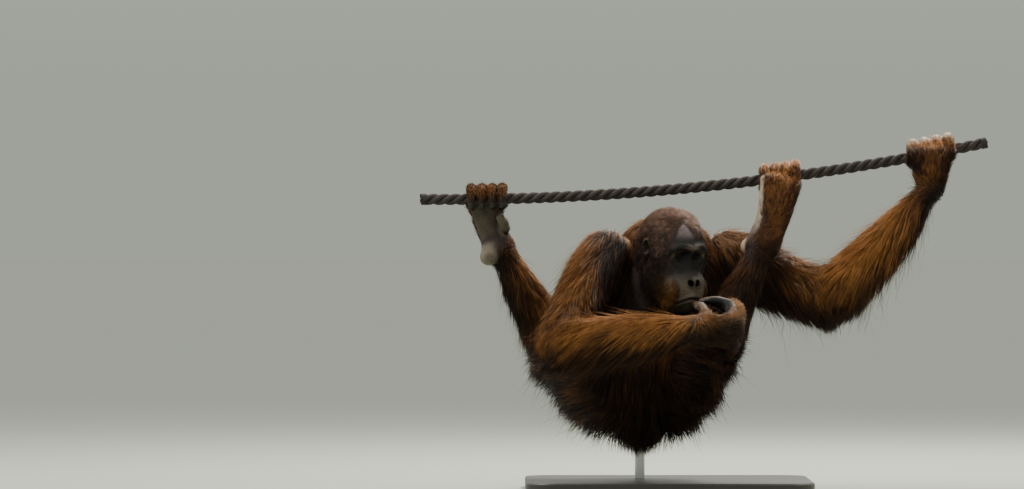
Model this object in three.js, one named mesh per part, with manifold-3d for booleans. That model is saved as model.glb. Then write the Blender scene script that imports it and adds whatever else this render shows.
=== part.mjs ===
// An orangutan that hangs from a rope by both feet and one hand while the other hand is at its mouth,
// life size, on a flat base with a short rod under the rump. Millimetres, +Z up, -Y is the side it faces.
// The origin is the centre of the base's underside. "Right" and "left" are the animal's own sides.
import * as THREE from "three";
import { mergeVertices } from "three/addons/utils/BufferGeometryUtils.js";
import Module from "manifold-3d";

const wasm = await Module();
wasm.setup();

const v = (x, y, z) => new THREE.Vector3(x, y, z);
const UP = v(0, 0, 1);
const GAP = 0.35; // left between two nodes that touch

// How far the coat stands off the skin
const COAT_CORE = 9; // the closed part of the long coat, under its locks
const COAT_SHORT = 9; // head and throat
const COAT_LOW = 3; // backs of the hands and feet

// Joint centres
const SHOULDER_R = v(-136, -10, 533);
const ELBOW_R = v(-239, -195, 328);
const WRIST_R = v(73, -250, 371);
const SHOULDER_L = v(135, 92, 527);
const ELBOW_L = v(361, -70, 431);
const WRIST_L = v(586, -30, 672);
const HIP_R = v(-118, 38, 205);
const KNEE_R = v(-259, 110, 339);
const ANKLE_R = v(-369, 45, 533);
const HIP_L = v(5, 50, 205);
const KNEE_L = v(112, -120, 349);
const ANKLE_L = v(208, -74, 544);

// The head's own axes: it looks down and to its left
const HEAD_AT = v(10, -85, 553);
const HEAD_YAW = THREE.MathUtils.degToRad(31);
const HEAD_PITCH = THREE.MathUtils.degToRad(12);
const FACE = v(
  Math.sin(HEAD_YAW) * Math.cos(HEAD_PITCH),
  -Math.cos(HEAD_YAW) * Math.cos(HEAD_PITCH),
  -Math.sin(HEAD_PITCH),
);
const LEFT = v(Math.cos(HEAD_YAW), Math.sin(HEAD_YAW), 0);
const CROWN = LEFT.clone().cross(FACE).negate();
const head = (f, l, u) =>
  HEAD_AT.clone().addScaledVector(FACE, f).addScaledVector(LEFT, l).addScaledVector(CROWN, u);

// The rope, a shallow sagging curve that rises to the animal's left
const ROPE_RADIUS = 13;
const ROPE_START = -545;
const ROPE_END = 705;
const ROPE_LOW_X = -500; // where the sag is lowest
const ROPE_LOW_Z = 651;
const ROPE_RISE = 0.0000865; // curvature of the sag, per millimetre
const ropeZ = (x) => ROPE_LOW_Z + ROPE_RISE * (x - ROPE_LOW_X) ** 2;
const ropeSlope = (x) => Math.atan(2 * ROPE_RISE * (x - ROPE_LOW_X));

// The display stand
const BASE_LENGTH = 640;
const BASE_WIDTH = 460;
const BASE_THICK = 24;
const BASE_CORNER = 60;
const BASE_BEVEL = 3;
const ROD_RADIUS = 11;
const ROD_AT = v(-62, 48, 0);
const RUMP_LOW = 78; // height of the lowest point of the coat

const material = (colour, roughness) =>
  new THREE.MeshStandardMaterial({ color: colour, roughness, metalness: 0 });
const coat = material(0x6b3318, 0.85);
const skin = material(0x4a4038, 0.6);
const eye = material(0x1c0f08, 0.1);
const rope = material(0x3a3632, 0.9);
const wood = material(0x2b2621, 0.5);
const steel = new THREE.MeshStandardMaterial({ color: 0x9a9a98, roughness: 0.35, metalness: 1 });

// Closed solid from rings of points with a fan at each end
function ringsSolid(rings) {
  const sides = rings[0].length;
  const points = rings.flat();
  const faces = [];
  for (let r = 0; r + 1 < rings.length; r++)
    for (let s = 0; s < sides; s++) {
      const a = r * sides + s;
      const b = r * sides + ((s + 1) % sides);
      faces.push(a, b, b + sides, a, b + sides, a + sides);
    }
  const middle = (ring) =>
    ring.reduce((sum, p) => sum.add(p), v(0, 0, 0)).divideScalar(sides);
  const first = points.push(middle(rings[0])) - 1;
  const last = points.push(middle(rings.at(-1))) - 1;
  const top = (rings.length - 1) * sides;
  for (let s = 0; s < sides; s++) {
    const next = (s + 1) % sides;
    faces.push(first, next, s, last, top + s, top + next);
  }
  return solid(points, faces);
}

// manifold solid of indexed triangles, turned so that its faces point out
function solid(points, faces) {
  const geometry = new THREE.BufferGeometry();
  geometry.setFromPoints(points);
  geometry.setIndex(faces);
  return geometrySolid(geometry);
}

function geometrySolid(geometry) {
  const bare = new THREE.BufferGeometry();
  bare.setAttribute("position", geometry.getAttribute("position"));
  bare.setIndex(geometry.getIndex());
  const merged = mergeVertices(bare, 1e-4);
  const triVerts = new Uint32Array(merged.index.array);
  const make = () =>
    new wasm.Manifold(
      new wasm.Mesh({ numProp: 3, vertProperties: merged.attributes.position.array, triVerts }),
    );
  const made = make();
  if (made.volume() >= 0) return made;
  triVerts.reverse();
  return make();
}

const join = (solids) => solids.reduce((a, b) => a.add(b));

// The largest closed surface of a solid, with any loose scrap dropped
function largest(made) {
  const pieces = made.decompose();
  return pieces.reduce((a, b) => (a.volume() > b.volume() ? a : b));
}

// A tube of oval sections along a smooth curve. stations: [share of the length, half width, half depth];
// across is the direction of the width. Both ends are rounded off within their own last radius.
const ROUND_STEPS = [0.92, 0.55];
const ROUND_STEPS_LARGE = [0.96, 0.8, 0.48];
function tube(points, stations, sides, across, grow = 0) {
  const curve = new THREE.CatmullRomCurve3(points, false, "centripetal");
  const section = (t, width, depth, shift) => {
    const tangent = curve.getTangentAt(t);
    const at = curve.getPointAt(t).addScaledVector(tangent, shift);
    const side = across.clone().addScaledVector(tangent, -across.dot(tangent)).normalize();
    const deep = tangent.clone().cross(side);
    const ring = [];
    for (let s = 0; s < sides; s++) {
      const turn = (2 * Math.PI * s) / sides;
      ring.push(
        at
          .clone()
          .addScaledVector(side, Math.cos(turn) * width)
          .addScaledVector(deep, Math.sin(turn) * depth),
      );
    }
    return ring;
  };
  const rings = [];
  const cap = (t, width, depth, way) => {
    const reach = Math.min(width, depth);
    return (sides > 16 ? ROUND_STEPS_LARGE : ROUND_STEPS).map((share) => {
      const narrow = Math.sqrt(1 - share * share);
      return section(t, width * narrow, depth * narrow, way * reach * share);
    });
  };
  const grown = stations.map(([t, width, depth]) => [t, width + grow, depth + grow]);
  rings.push(...cap(grown[0][0], grown[0][1], grown[0][2], -1));
  for (const [t, width, depth] of grown) rings.push(section(t, width, depth, 0));
  rings.push(...cap(grown.at(-1)[0], grown.at(-1)[1], grown.at(-1)[2], 1).reverse());
  return ringsSolid(rings);
}

// The point at a share of a tube's length, a turn round it and a height over its surface
function overTube(points, stations, across) {
  const curve = new THREE.CatmullRomCurve3(points, false, "centripetal");
  const place = (share, turn, height) => {
    const t = THREE.MathUtils.clamp(share, 0, 1);
    const next = Math.max(1, stations.findIndex(([end]) => end >= t));
    const [t0, w0, d0] = stations[next - 1];
    const [t1, w1, d1] = stations[next];
    const part = (t - t0) / (t1 - t0);
    const width = THREE.MathUtils.lerp(w0, w1, part) + height;
    const depth = THREE.MathUtils.lerp(d0, d1, part) + height;
    const tangent = curve.getTangentAt(t);
    const side = across.clone().addScaledVector(tangent, -across.dot(tangent)).normalize();
    const deep = tangent.clone().cross(side);
    return curve
      .getPointAt(t)
      .addScaledVector(side, Math.cos(turn) * width)
      .addScaledVector(deep, Math.sin(turn) * depth);
  };
  return { place, length: curve.getLength() };
}

// Middle lines of the body's parts with their coated radii, to keep a lock clear of its neighbours
const BONES = [
  ["trunk", v(-58, 46, 190), v(0, 52, 520), 138],
  ["head", v(14, -88, 553), v(40, -130, 480), 104],
  ["neck", v(0, 10, 535), v(10, -60, 535), 98],
  ["arm_right", SHOULDER_R, ELBOW_R, 66],
  ["arm_right", ELBOW_R, WRIST_R, 55],
  ["arm_left", SHOULDER_L, ELBOW_L, 66],
  ["arm_left", ELBOW_L, WRIST_L, 52],
  ["leg_right", HIP_R, KNEE_R, 94],
  ["leg_right", KNEE_R, ANKLE_R, 48],
  ["leg_left", HIP_L, KNEE_L, 94],
  ["leg_left", KNEE_L, ANKLE_L, 48],
  ["hand_right", WRIST_R, v(150, -235, 390), 60],
  ["hand_left", WRIST_L, v(586, -20, 770), 62],
  ["foot_right", ANKLE_R, v(-405, 10, 650), 55],
  ["foot_left", ANKLE_L, v(250, -20, 700), 55],
];
function clearOfOthers(point, owner) {
  return BONES.every(([name, from, to, radius]) => {
    if (name === owner) return true;
    const near = new THREE.Line3(from, to).closestPointToPoint(point, true, v(0, 0, 0));
    return near.distanceTo(point) > radius;
  });
}

// One lock of hair: a flat taper with a ridge, sunk in at its root and standing off at its tip.
// Sections: [share of the length, half width, height of its edges, height of its ridge]
const LOCK_SECTIONS = [
  [0, 0.6, -8, 3],
  [0.38, 1, -3.5, 8],
  [0.72, 0.7, 3, 12],
];
const LOCK_TIP = 13.5;
function lock({ place, root, turn, run, drift, half, radius, sag }, grow) {
  const points = [];
  for (const [share, wide, low, high] of LOCK_SECTIONS) {
    const t = root + run * share;
    const aim = turn + drift * share;
    const spread = (half * wide + 4 * grow) / radius;
    const hang = 1 + sag * share;
    points.push(place(t, aim - spread, low * hang - 2 * grow));
    points.push(place(t, aim + spread, low * hang - 2 * grow));
    points.push(place(t, aim, high * hang + 3 * grow));
  }
  const end = root + run * (1 + 0.06 * Math.sign(grow));
  points.push(place(end, turn + drift, LOCK_TIP * (1 + sag) + grow));
  const faces = [0, 2, 1];
  for (let ring = 0; ring < 6; ring += 3)
    for (let side = 0; side < 3; side++) {
      const a = ring + side;
      const b = ring + ((side + 1) % 3);
      faces.push(a, b, b + 3, a, b + 3, a + 3);
    }
  faces.push(6, 7, 9, 7, 8, 9, 8, 6, 9);
  return solid(points, faces);
}

// An even scatter from -0.5 to 0.5 that is always the same for one number
const scatter = (n) => {
  const x = Math.sin(n * 12.9898 + 4.1) * 43758.5453;
  return x - Math.floor(x) - 0.5;
};

// A tube of flesh under a long coat: its core and the locks over it.
// growth: rows of locks from one share of the length to another, locks in a row, their size and way
function furred(points, stations, sides, across, growth, owner, grow) {
  const core = stations.map(([t, width, depth]) => [t, width + COAT_CORE, depth + COAT_CORE]);
  const body = tube(points, core, sides, across, grow);
  if (!growth) return body;
  const { place, length } = overTube(points, core, across);
  const { from, to, rows, around, long, half, way } = growth;
  const pieces = [body];
  for (let row = 0; row < rows; row++)
    for (let n = 0; n < around; n++) {
      const key = row * 31 + n * 7 + length;
      const root = THREE.MathUtils.lerp(from, to, row / (rows - 1)) + 0.05 * scatter(key);
      const turn = (2 * Math.PI * (n + (row % 2) / 2 + 0.35 * scatter(key + 3))) / around;
      const run = (way * long * (1 + 0.3 * scatter(key + 5))) / length;
      const radius = place(root, turn, 0).distanceTo(place(root, turn + Math.PI, 0)) / 2;
      const outward = place(root, turn, 10).sub(place(root, turn, 0)).normalize();
      const sag = 0.7 * Math.max(0, -outward.z);
      const drift = 0.3 * scatter(key + 11);
      const spec = { place, root, turn, run, drift, half, radius, sag };
      const checks = [0.1, 0.55, 1].map((share) => place(root + run * share, turn + drift * share, 14));
      if (checks.every((point) => clearOfOthers(point, owner))) pieces.push(lock(spec, grow));
    }
  return join(pieces);
}

// An oval ball with half sizes along its own three directions
function ball(at, sizes, directions, rows, sides, grow = 0) {
  const geometry = new THREE.SphereGeometry(1, sides, rows);
  const frame = new THREE.Matrix4()
    .makeBasis(...directions)
    .scale(v(...sizes.map((s) => s + grow)));
  geometry.applyMatrix4(frame.setPosition(at));
  return geometrySolid(geometry);
}

// Everything on one side of the plane through a point, as a large block to cut with
const BLOCK = 900;
function halfSpace(at, normal, gap) {
  const geometry = new THREE.BoxGeometry(BLOCK, BLOCK, BLOCK);
  const turn = new THREE.Quaternion().setFromUnitVectors(UP, normal);
  const centre = at.clone().addScaledVector(normal, BLOCK / 2 + gap);
  geometry.applyMatrix4(new THREE.Matrix4().compose(centre, turn, v(1, 1, 1)));
  return geometrySolid(geometry);
}

// Two limb shapes joined at a bend and cut across it; part 0 is the near one, part 1 the far one
function bentLimb(upper, lower, at, from, to, part, grow) {
  const normal = to.clone().sub(at).normalize().sub(from.clone().sub(at).normalize()).normalize();
  const away = part === 0 ? normal : normal.negate();
  return upper.add(lower).subtract(halfSpace(at, away, grow - GAP / 2));
}

const LIMB_SIDES = 12;
const TRUNK_SIDES = 20;
const DIGIT_SIDES = 6;

// The trunk, from the rump to the top of the shoulders: its middle line and its half width and depth
const TRUNK_LOCKS = { from: 0.96, to: 0.33, rows: 4, around: 12, long: 135, half: 33, way: -1 };
function trunk(grow) {
  const line = [
    v(-62, 48, 181),
    v(-57, 44, 240),
    v(-42, 38, 315),
    v(-25, 45, 400),
    v(-8, 52, 480),
    v(2, 52, 548),
  ];
  const stations = [
    [0, 80, 70],
    [0.15, 112, 96],
    [0.35, 130, 118],
    [0.55, 132, 116],
    [0.75, 132, 100],
    [0.9, 122, 78],
    [1, 96, 56],
  ];
  return furred(line, stations, TRUNK_SIDES, v(0.97, 0.22, 0), TRUNK_LOCKS, "trunk", grow);
}

function neck(grow) {
  const line = [v(0, 45, 530), v(4, -20, 532), HEAD_AT.clone().add(v(-6, 40, -22))];
  const nape = tube(line, [[0, 82, 70], [0.5, 74, 66], [1, 62, 62]], 16, v(1, 0.2, 0), grow);
  const pouch = ball(v(-20, -50, 470), [62, 48, 82], [v(1, 0, 0), v(0, 1, 0), UP], 9, 16, grow);
  return nape.add(pouch);
}

// The head is one surface round a middle point, found by going out along each direction
// until a blend of rounded masses ends. All in the head's own axes: [forward, left, up].
const HEAD_MASSES = [
  { at: [-8, 0, 12], half: [78, 63, 62] }, // braincase
  { at: [-34, 0, -24], half: [52, 56, 52] }, // nape
  { at: [43, 0, 0], half: [30, 46, 22] }, // brow
  { at: [30, 40, -28], half: [28, 24, 32] }, // cheekbones
  { at: [30, -40, -28], half: [28, 24, 32] },
  { at: [42, 0, -48], half: [30, 36, 34] }, // middle of the face
  { at: [70, 0, -88], half: [33, 50, 37] }, // muzzle
  { at: [50, 0, -122], half: [40, 40, 28] }, // lower jaw
  { at: [16, 38, -76], half: [38, 25, 37] }, // angles of the jaw
  { at: [16, -38, -76], half: [38, 25, 37] },
];
const HEAD_MIDDLE = [18, 0, -36];
const HEAD_ROWS = 28;
const HEAD_SIDES = 32;
const BLEND = 9;
const EYE_SPREAD = 20; // from the middle of the face to each eye's centre
const EYE_FORWARD = 53;
const EYE_HEIGHT = -10;
const EYE_RADIUS = 12;
const LID_THICK = 2.2;
const MOUTH_HEIGHT = -104;
const MOUTH_DROOP = 0.013; // how far its line falls towards the corners, per millimetre squared
const MOUTH_HALF = 33;
const mouthLine = (l) => MOUTH_HEIGHT - MOUTH_DROOP * l * l;
const NOSTRIL_HEIGHT = -70;

function headField(f, l, u, grow) {
  let sum = 0;
  for (const { at, half } of HEAD_MASSES) {
    const [a, b, c] = half.map((h) => h + grow);
    const q = [(f - at[0]) / a, (l - at[1]) / b, (u - at[2]) / c];
    const far = Math.hypot(...q);
    const slope = Math.hypot(q[0] / a, q[1] / b, q[2] / c);
    const distance = slope > 0 ? (far * (far - 1)) / slope : -Math.min(a, b, c);
    sum += Math.exp(-distance / BLEND);
  }
  return -BLEND * Math.log(sum);
}

const bump = (value, spread) => Math.exp(-((value / spread) ** 2));

// How far the face stands out beyond the blended masses: sockets in, lips, nose and brow out
function faceRelief([f, l, u]) {
  if (f < 30) return 0;
  const wide = Math.abs(l);
  const socket = -11 * bump(wide - EYE_SPREAD, 14) * bump(u - EYE_HEIGHT + 2, 12);
  const brow = 4.5 * bump(u - EYE_HEIGHT - 18, 8) * bump(wide - 18, 24);
  const bridge = 3 * bump(l, 6) * bump(u + 32, 22);
  const nose = 4 * bump(l, 13) * bump(u - NOSTRIL_HEIGHT - 3, 9);
  const line = u - mouthLine(Math.min(wide, MOUTH_HALF));
  const lips = 3 * (bump(line - 6, 5) + 1.3 * bump(line + 7, 5.5));
  return socket + brow + bridge + nose + lips * THREE.MathUtils.smoothstep(f, 48, 68);
}

// How deep the coat lies over the skin of the head: nothing on the face
function headCoat([f, l, u]) {
  const oval = Math.hypot(l / 60, (u + 44) / 92);
  const front = THREE.MathUtils.smoothstep(f, 12, 46);
  const face = front * (1 - THREE.MathUtils.smoothstep(oval, 0.75, 1.2));
  return COAT_SHORT * (1 - face);
}

function headReach(way, grow) {
  const at = (reach) => HEAD_MIDDLE.map((m, i) => m + way[i] * reach);
  let reach = 190;
  for (let step = 0; step < 60; step++) {
    const far = headField(...at(reach), 0);
    if (Math.abs(far) < 0.01) break;
    reach -= far * 0.7;
  }
  const found = at(reach);
  return at(reach + faceRelief(found) + headCoat(found) + grow);
}

// The head turned so that the rows of its surface run round the face
function headBall(grow) {
  const rings = [];
  for (let r = 0; r <= HEAD_ROWS; r++) {
    const polar = 0.05 + (Math.PI - 0.1) * (r / HEAD_ROWS) ** 1.12;
    const ring = [];
    for (let s = 0; s < HEAD_SIDES; s++) {
      const turn = (2 * Math.PI * s) / HEAD_SIDES;
      const way = [Math.cos(polar), Math.sin(polar) * Math.cos(turn), Math.sin(polar) * Math.sin(turn)];
      ring.push(head(...headReach(way, grow)));
    }
    rings.push(ring);
  }
  return ringsSolid(rings);
}

// How far forward the face is at a place left and up of its middle
function faceFront(l, u) {
  let f = 150;
  while (f > 0 && headField(f, l, u, 0) > 0) f -= 0.5;
  return f + faceRelief([f, l, u]);
}

const HEAD_AXES = [FACE, LEFT, CROWN];
const eyeBall = (side, grow) =>
  ball(
    head(EYE_FORWARD, side * EYE_SPREAD, EYE_HEIGHT),
    [EYE_RADIUS, EYE_RADIUS, EYE_RADIUS],
    HEAD_AXES,
    8,
    14,
    grow,
  );

function headWhole(grow) {
  let made = headBall(grow);
  for (const side of [-1, 1]) {
    const lidSize = EYE_RADIUS + LID_THICK;
    const lids = ball(
      head(EYE_FORWARD, side * EYE_SPREAD, EYE_HEIGHT),
      [lidSize, lidSize + 2, lidSize - 1],
      HEAD_AXES,
      10,
      14,
      grow,
    );
    const opening = ball(
      head(EYE_FORWARD + 15, side * (EYE_SPREAD + 1), EYE_HEIGHT - 1),
      [11, 11.5, 4.6],
      HEAD_AXES,
      6,
      12,
      -grow,
    );
    made = made.add(lids).subtract(opening);
    const nostril = ball(
      head(faceFront(side * 8, NOSTRIL_HEIGHT) + 1, side * 8, NOSTRIL_HEIGHT),
      [7, 3.6, 4.2],
      HEAD_AXES,
      5,
      8,
      -grow / 2,
    );
    made = made.subtract(nostril);
  }
  const slit = [];
  for (let n = -3; n <= 3; n++) {
    const l = (n * (MOUTH_HALF - 2)) / 3;
    const u = mouthLine(l);
    slit.push(head(faceFront(l, u) + 1, l, u));
  }
  const groove = tube(slit, [[0, 2.4, 4], [0.5, 3, 7], [1, 2.4, 4]], 6, CROWN);
  return grow > 0 ? made : made.subtract(groove);
}

// A small round ear with a hollow that opens outward
function ear(side, grow) {
  const at = (f, l, u) => head(f, side * l, u);
  const shell = ball(at(-6, 72, -10), [12, 10, 19], HEAD_AXES, 7, 12, grow);
  if (grow > 0) return shell;
  return shell.subtract(ball(at(-2, 84, -9), [7.5, 9, 12], HEAD_AXES, 6, 10));
}

// A finger or toe through the middles of its joints
function digit(points, radius, across, grow) {
  const stations = [
    [0, radius * 1.05, radius],
    [0.25, radius, radius * 0.95],
    [0.45, radius * 0.92, radius * 0.9],
    [0.68, radius, radius * 0.95],
    [1, radius * 0.8, radius * 0.75],
  ];
  return tube(points, stations, DIGIT_SIDES, across, grow);
}

// Points of a digit that wraps the rope at x, from the palm's side, over the top, to the far side
function wrap(x, side, radius, palmDrop, tipDrop) {
  const z = ropeZ(x);
  const reach = ROPE_RADIUS + radius + GAP;
  return [
    v(x, -side * reach, z - palmDrop),
    v(x, -side * reach * 1.02, z + reach * 0.35),
    v(x, -side * reach * 0.45, z + reach * 1.02),
    v(x, side * reach * 0.5, z + reach * 0.98),
    v(x, side * reach * 1.04, z + reach * 0.2),
    v(x, side * reach * 0.98, z - tipDrop),
  ];
}

function palm(points, stations, across, grow) {
  return tube(points, stations, 10, across, grow);
}

const FINGER_RADIUS = 11;
const GRIP_FINGER = 13; // the left hand's fingers, spread by the weight
const GRIP_SPACE = 26;
const TOE_RADIUS = 9.5;
const TOE_SPACE = 23;

function handLeft(grow) {
  const x0 = 587;
  const pieces = [
    palm(
      [WRIST_L, v(587, -36, 715), v(586, -36, 752)],
      [[0, 27, 22], [0.5, 38, 18], [1, 50, 15]],
      v(1, 0, 0.19),
      grow,
    ),
  ];
  for (let n = 0; n < 4; n++) {
    const x = x0 + (n - 1.5) * GRIP_SPACE;
    pieces.push(digit(wrap(x, 1, GRIP_FINGER, 12, 16), GRIP_FINGER, v(1, 0, 0), grow));
  }
  pieces.push(digit([v(596, -24, 700), v(606, -6, 714), v(604, 12, 730)], 10, v(1, 0, 0), grow));
  return join(pieces);
}

function footLeft(grow) {
  const x0 = 250;
  const pieces = [
    palm(
      [ANKLE_L, v(230, -60, 606), v(250, -35, 688)],
      [[0, 32, 28], [0.4, 34, 20], [1, 45, 15]],
      v(1, 0.1, 0.1),
      grow,
    ),
    palm([v(212, -62, 572), v(190, -44, 552), v(180, -34, 546)], [[0, 24, 22], [1, 18, 18]], UP, grow),
    digit([v(256, -40, 622), v(262, -16, 634), v(258, 8, 652)], 11, v(1, 0, 0), grow),
  ];
  for (let n = 0; n < 4; n++) {
    const x = x0 + (n - 1.5) * TOE_SPACE;
    pieces.push(digit(wrap(x, 1, TOE_RADIUS, 24, 14), TOE_RADIUS, v(1, 0, 0), grow));
  }
  return join(pieces);
}

function footRight(grow) {
  const x0 = -406;
  const pieces = [
    palm(
      [v(-378, 42, 545), v(-400, 34, 585), v(-407, 30, 640)],
      [[0, 28, 25], [0.45, 26, 17], [1, 40, 13]],
      v(1, 0, 0),
      grow,
    ),
    palm([v(-380, 42, 560), v(-398, 24, 530), v(-402, 18, 522)], [[0, 24, 22], [1, 19, 19]], UP, grow),
    digit([v(-374, 30, 568), v(-367, 16, 592), v(-376, 2, 611)], 12, v(1, 0, 0), grow),
  ];
  for (let n = 0; n < 4; n++) {
    const x = x0 + (n - 1.5) * TOE_SPACE;
    pieces.push(digit(wrap(x, -1, TOE_RADIUS, 14, 14), TOE_RADIUS, v(1, 0, 0), grow));
  }
  return join(pieces);
}

// The right hand is half closed at the mouth: the fingers are stacked along the fist's leaning axis,
// and the tips of the first two meet the thumb at the lips
const FIST_AXIS = v(0, -0.42, 0.91);
const FIST_STEP = 19;
function handRight(grow) {
  const pieces = [
    palm(
      [WRIST_R, v(106, -256, 363), v(138, -254, 356)],
      [[0, 26, 22], [0.5, 34, 18], [1, 35, 15]],
      FIST_AXIS,
      grow,
    ),
    // the heavy knuckles, which leave a narrow hole between the fingers and the thumb
    tube(
      [v(132, -264, 380), v(138, -242, 398), v(132, -216, 410)],
      [[0, 18, 18], [0.5, 19, 20], [1, 16, 15]],
      8,
      v(1, 0, 0),
      grow,
    ),
    digit([v(88, -262, 382), v(77, -240, 400), v(67, -206, 414), v(60, -180, 412)], 10.5, v(1, 0, 0), grow),
  ];
  for (let n = 0; n < 4; n++) {
    const at = (x, y, z) => v(x, y, z).addScaledVector(FIST_AXIS, -n * FIST_STEP);
    const line = [
      at(136, -266, 382),
      at(149 - 4 * n, -250, 394),
      at(144 - 4 * n, -222, 411),
      at(116, -202 - 3 * n, 423),
      at(86 + 4 * n, -190 - 6 * n, 425),
      at(58 + 13 * n, -167 - 13 * n, 417),
    ];
    pieces.push(digit(line, FINGER_RADIUS, FIST_AXIS, grow));
  }
  return join(pieces);
}

// A limb with its radii at shares of its length; locks and owner are left out on a limb with none
const limb = (points, radii, locks, owner, grow) =>
  furred(
    points,
    radii.map(([t, r]) => [t, r, r * 0.94]),
    LIMB_SIDES,
    v(0.6, 0.5, 0.62),
    locks,
    owner,
    grow,
  );
const between = (a, b, share, shift) => a.clone().lerp(b, share).add(shift);

// Each arm: shoulder, elbow, wrist. The hair of the upper arm runs down to the elbow,
// and so does that of the forearm, from the wrist.
const UPPER_ARM_LOCKS = { from: 0.12, to: 0.6, rows: 3, around: 5, long: 105, half: 24, way: 1 };
const FOREARM_LOCKS = { from: 0.84, to: 0.42, rows: 3, around: 5, long: 110, half: 21, way: -1 };
function arm(shoulder, elbow, wrist, bulge, owner, part, grow) {
  const upper = limb(
    [shoulder, between(shoulder, elbow, 0.5, bulge), elbow],
    [[0, 50], [0.25, 53], [0.6, 47], [1, 42]],
    part === 0 && UPPER_ARM_LOCKS,
    owner,
    grow,
  );
  const lower = limb(
    [elbow, between(elbow, wrist, 0.5, bulge), wrist],
    [[0, 44], [0.25, 44], [0.6, 36], [1, 22]],
    part === 1 && FOREARM_LOCKS,
    owner,
    grow,
  );
  return bentLimb(upper, lower, elbow, shoulder, wrist, part, grow);
}
const armRight = (part, grow) =>
  arm(SHOULDER_R, ELBOW_R, WRIST_R, v(-8, 0, 0), "arm_right", part, grow);
const armLeft = (part, grow) =>
  arm(SHOULDER_L, ELBOW_L, WRIST_L, v(0, 0, -6), "arm_left", part, grow);

// Each leg: hip, knee, ankle. The hair of the thigh runs up to the knee, that of the shank down to it.
const THIGH_LOCKS = { from: 0.08, to: 0.52, rows: 3, around: 6, long: 100, half: 28, way: 1 };
const SHANK_LOCKS = { from: 0.8, to: 0.5, rows: 2, around: 4, long: 80, half: 17, way: -1 };
function leg(hip, knee, ankle, calf, owner, part, grow) {
  const thigh = limb(
    [hip, hip.clone().lerp(knee, 0.5), knee],
    [[0, 72], [0.35, 72], [0.7, 62], [1, 50]],
    part === 0 && THIGH_LOCKS,
    owner,
    grow,
  );
  const shank = limb(
    [knee, between(knee, ankle, 0.4, calf), ankle],
    [[0, 47], [0.3, 41], [0.65, 31], [1, 24]],
    part === 1 && SHANK_LOCKS,
    owner,
    grow,
  );
  return bentLimb(thigh, shank, knee, hip, ankle, part, grow);
}
const legRight = (part, grow) =>
  leg(HIP_R, KNEE_R, ANKLE_R, v(-4, -6, 0), "leg_right", part, grow);
const legLeft = (part, grow) => leg(HIP_L, KNEE_L, ANKLE_L, v(0, -4, 0), "leg_left", part, grow);

// The cut length of rope
const ROPE_STEPS = 14;
function ropeShape(grow) {
  const line = [];
  const stations = [];
  for (let n = 0; n <= ROPE_STEPS; n++) {
    const share = n / ROPE_STEPS;
    const x = ROPE_START + (ROPE_END - ROPE_START) * share;
    line.push(v(x, 0, ropeZ(x)));
    stations.push([share, ROPE_RADIUS, ROPE_RADIUS]);
  }
  return tube(line, stations, 10, UP, grow);
}

function standBase() {
  const x = BASE_LENGTH / 2 - BASE_BEVEL;
  const y = BASE_WIDTH / 2 - BASE_BEVEL;
  const outline = new THREE.Shape();
  outline.absarc(x - BASE_CORNER, y - BASE_CORNER, BASE_CORNER, 0, Math.PI / 2);
  outline.absarc(BASE_CORNER - x, y - BASE_CORNER, BASE_CORNER, Math.PI / 2, Math.PI);
  outline.absarc(BASE_CORNER - x, BASE_CORNER - y, BASE_CORNER, Math.PI, 1.5 * Math.PI);
  outline.absarc(x - BASE_CORNER, BASE_CORNER - y, BASE_CORNER, 1.5 * Math.PI, 2 * Math.PI);
  const geometry = new THREE.ExtrudeGeometry(outline, {
    depth: BASE_THICK - 2 * BASE_BEVEL,
    bevelSize: BASE_BEVEL,
    bevelThickness: BASE_BEVEL,
    bevelSegments: 1,
    curveSegments: 4,
  });
  geometry.translate(0, 0, BASE_BEVEL);
  return geometrySolid(geometry);
}

function standRod() {
  const low = BASE_THICK + GAP;
  const high = RUMP_LOW + 60;
  const geometry = new THREE.CylinderGeometry(ROD_RADIUS, ROD_RADIUS, high - low, 24);
  geometry.rotateX(Math.PI / 2);
  geometry.translate(ROD_AT.x, ROD_AT.y, (low + high) / 2);
  return geometrySolid(geometry);
}

// Every node in the order in which they are fitted: each is cut clear of those before it
const PLAN = [
  ["stand_base", standBase, wood],
  ["perch_rope", ropeShape, rope],
  ["eye_right", (grow) => eyeBall(-1, grow), eye],
  ["eye_left", (grow) => eyeBall(1, grow), eye],
  ["torso", trunk, coat],
  ["neck", (grow) => neck(COAT_SHORT + grow), coat],
  ["head", headWhole, skin],
  ["ear_right", (grow) => ear(-1, grow), skin],
  ["ear_left", (grow) => ear(1, grow), skin],
  ["arm_right_upper", (grow) => armRight(0, grow), coat],
  ["arm_right_fore", (grow) => armRight(1, grow), coat],
  ["hand_right", (grow) => handRight(grow + COAT_LOW), skin],
  ["arm_left_upper", (grow) => armLeft(0, grow), coat],
  ["arm_left_fore", (grow) => armLeft(1, grow), coat],
  ["hand_left", handLeft, skin],
  ["leg_right_thigh", (grow) => legRight(0, grow), coat],
  ["leg_right_shank", (grow) => legRight(1, grow), coat],
  ["foot_right", footRight, skin],
  ["leg_left_thigh", (grow) => legLeft(0, grow), coat],
  ["leg_left_shank", (grow) => legLeft(1, grow), coat],
  ["foot_left", footLeft, skin],
  ["stand_rod", standRod, steel],
];

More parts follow.
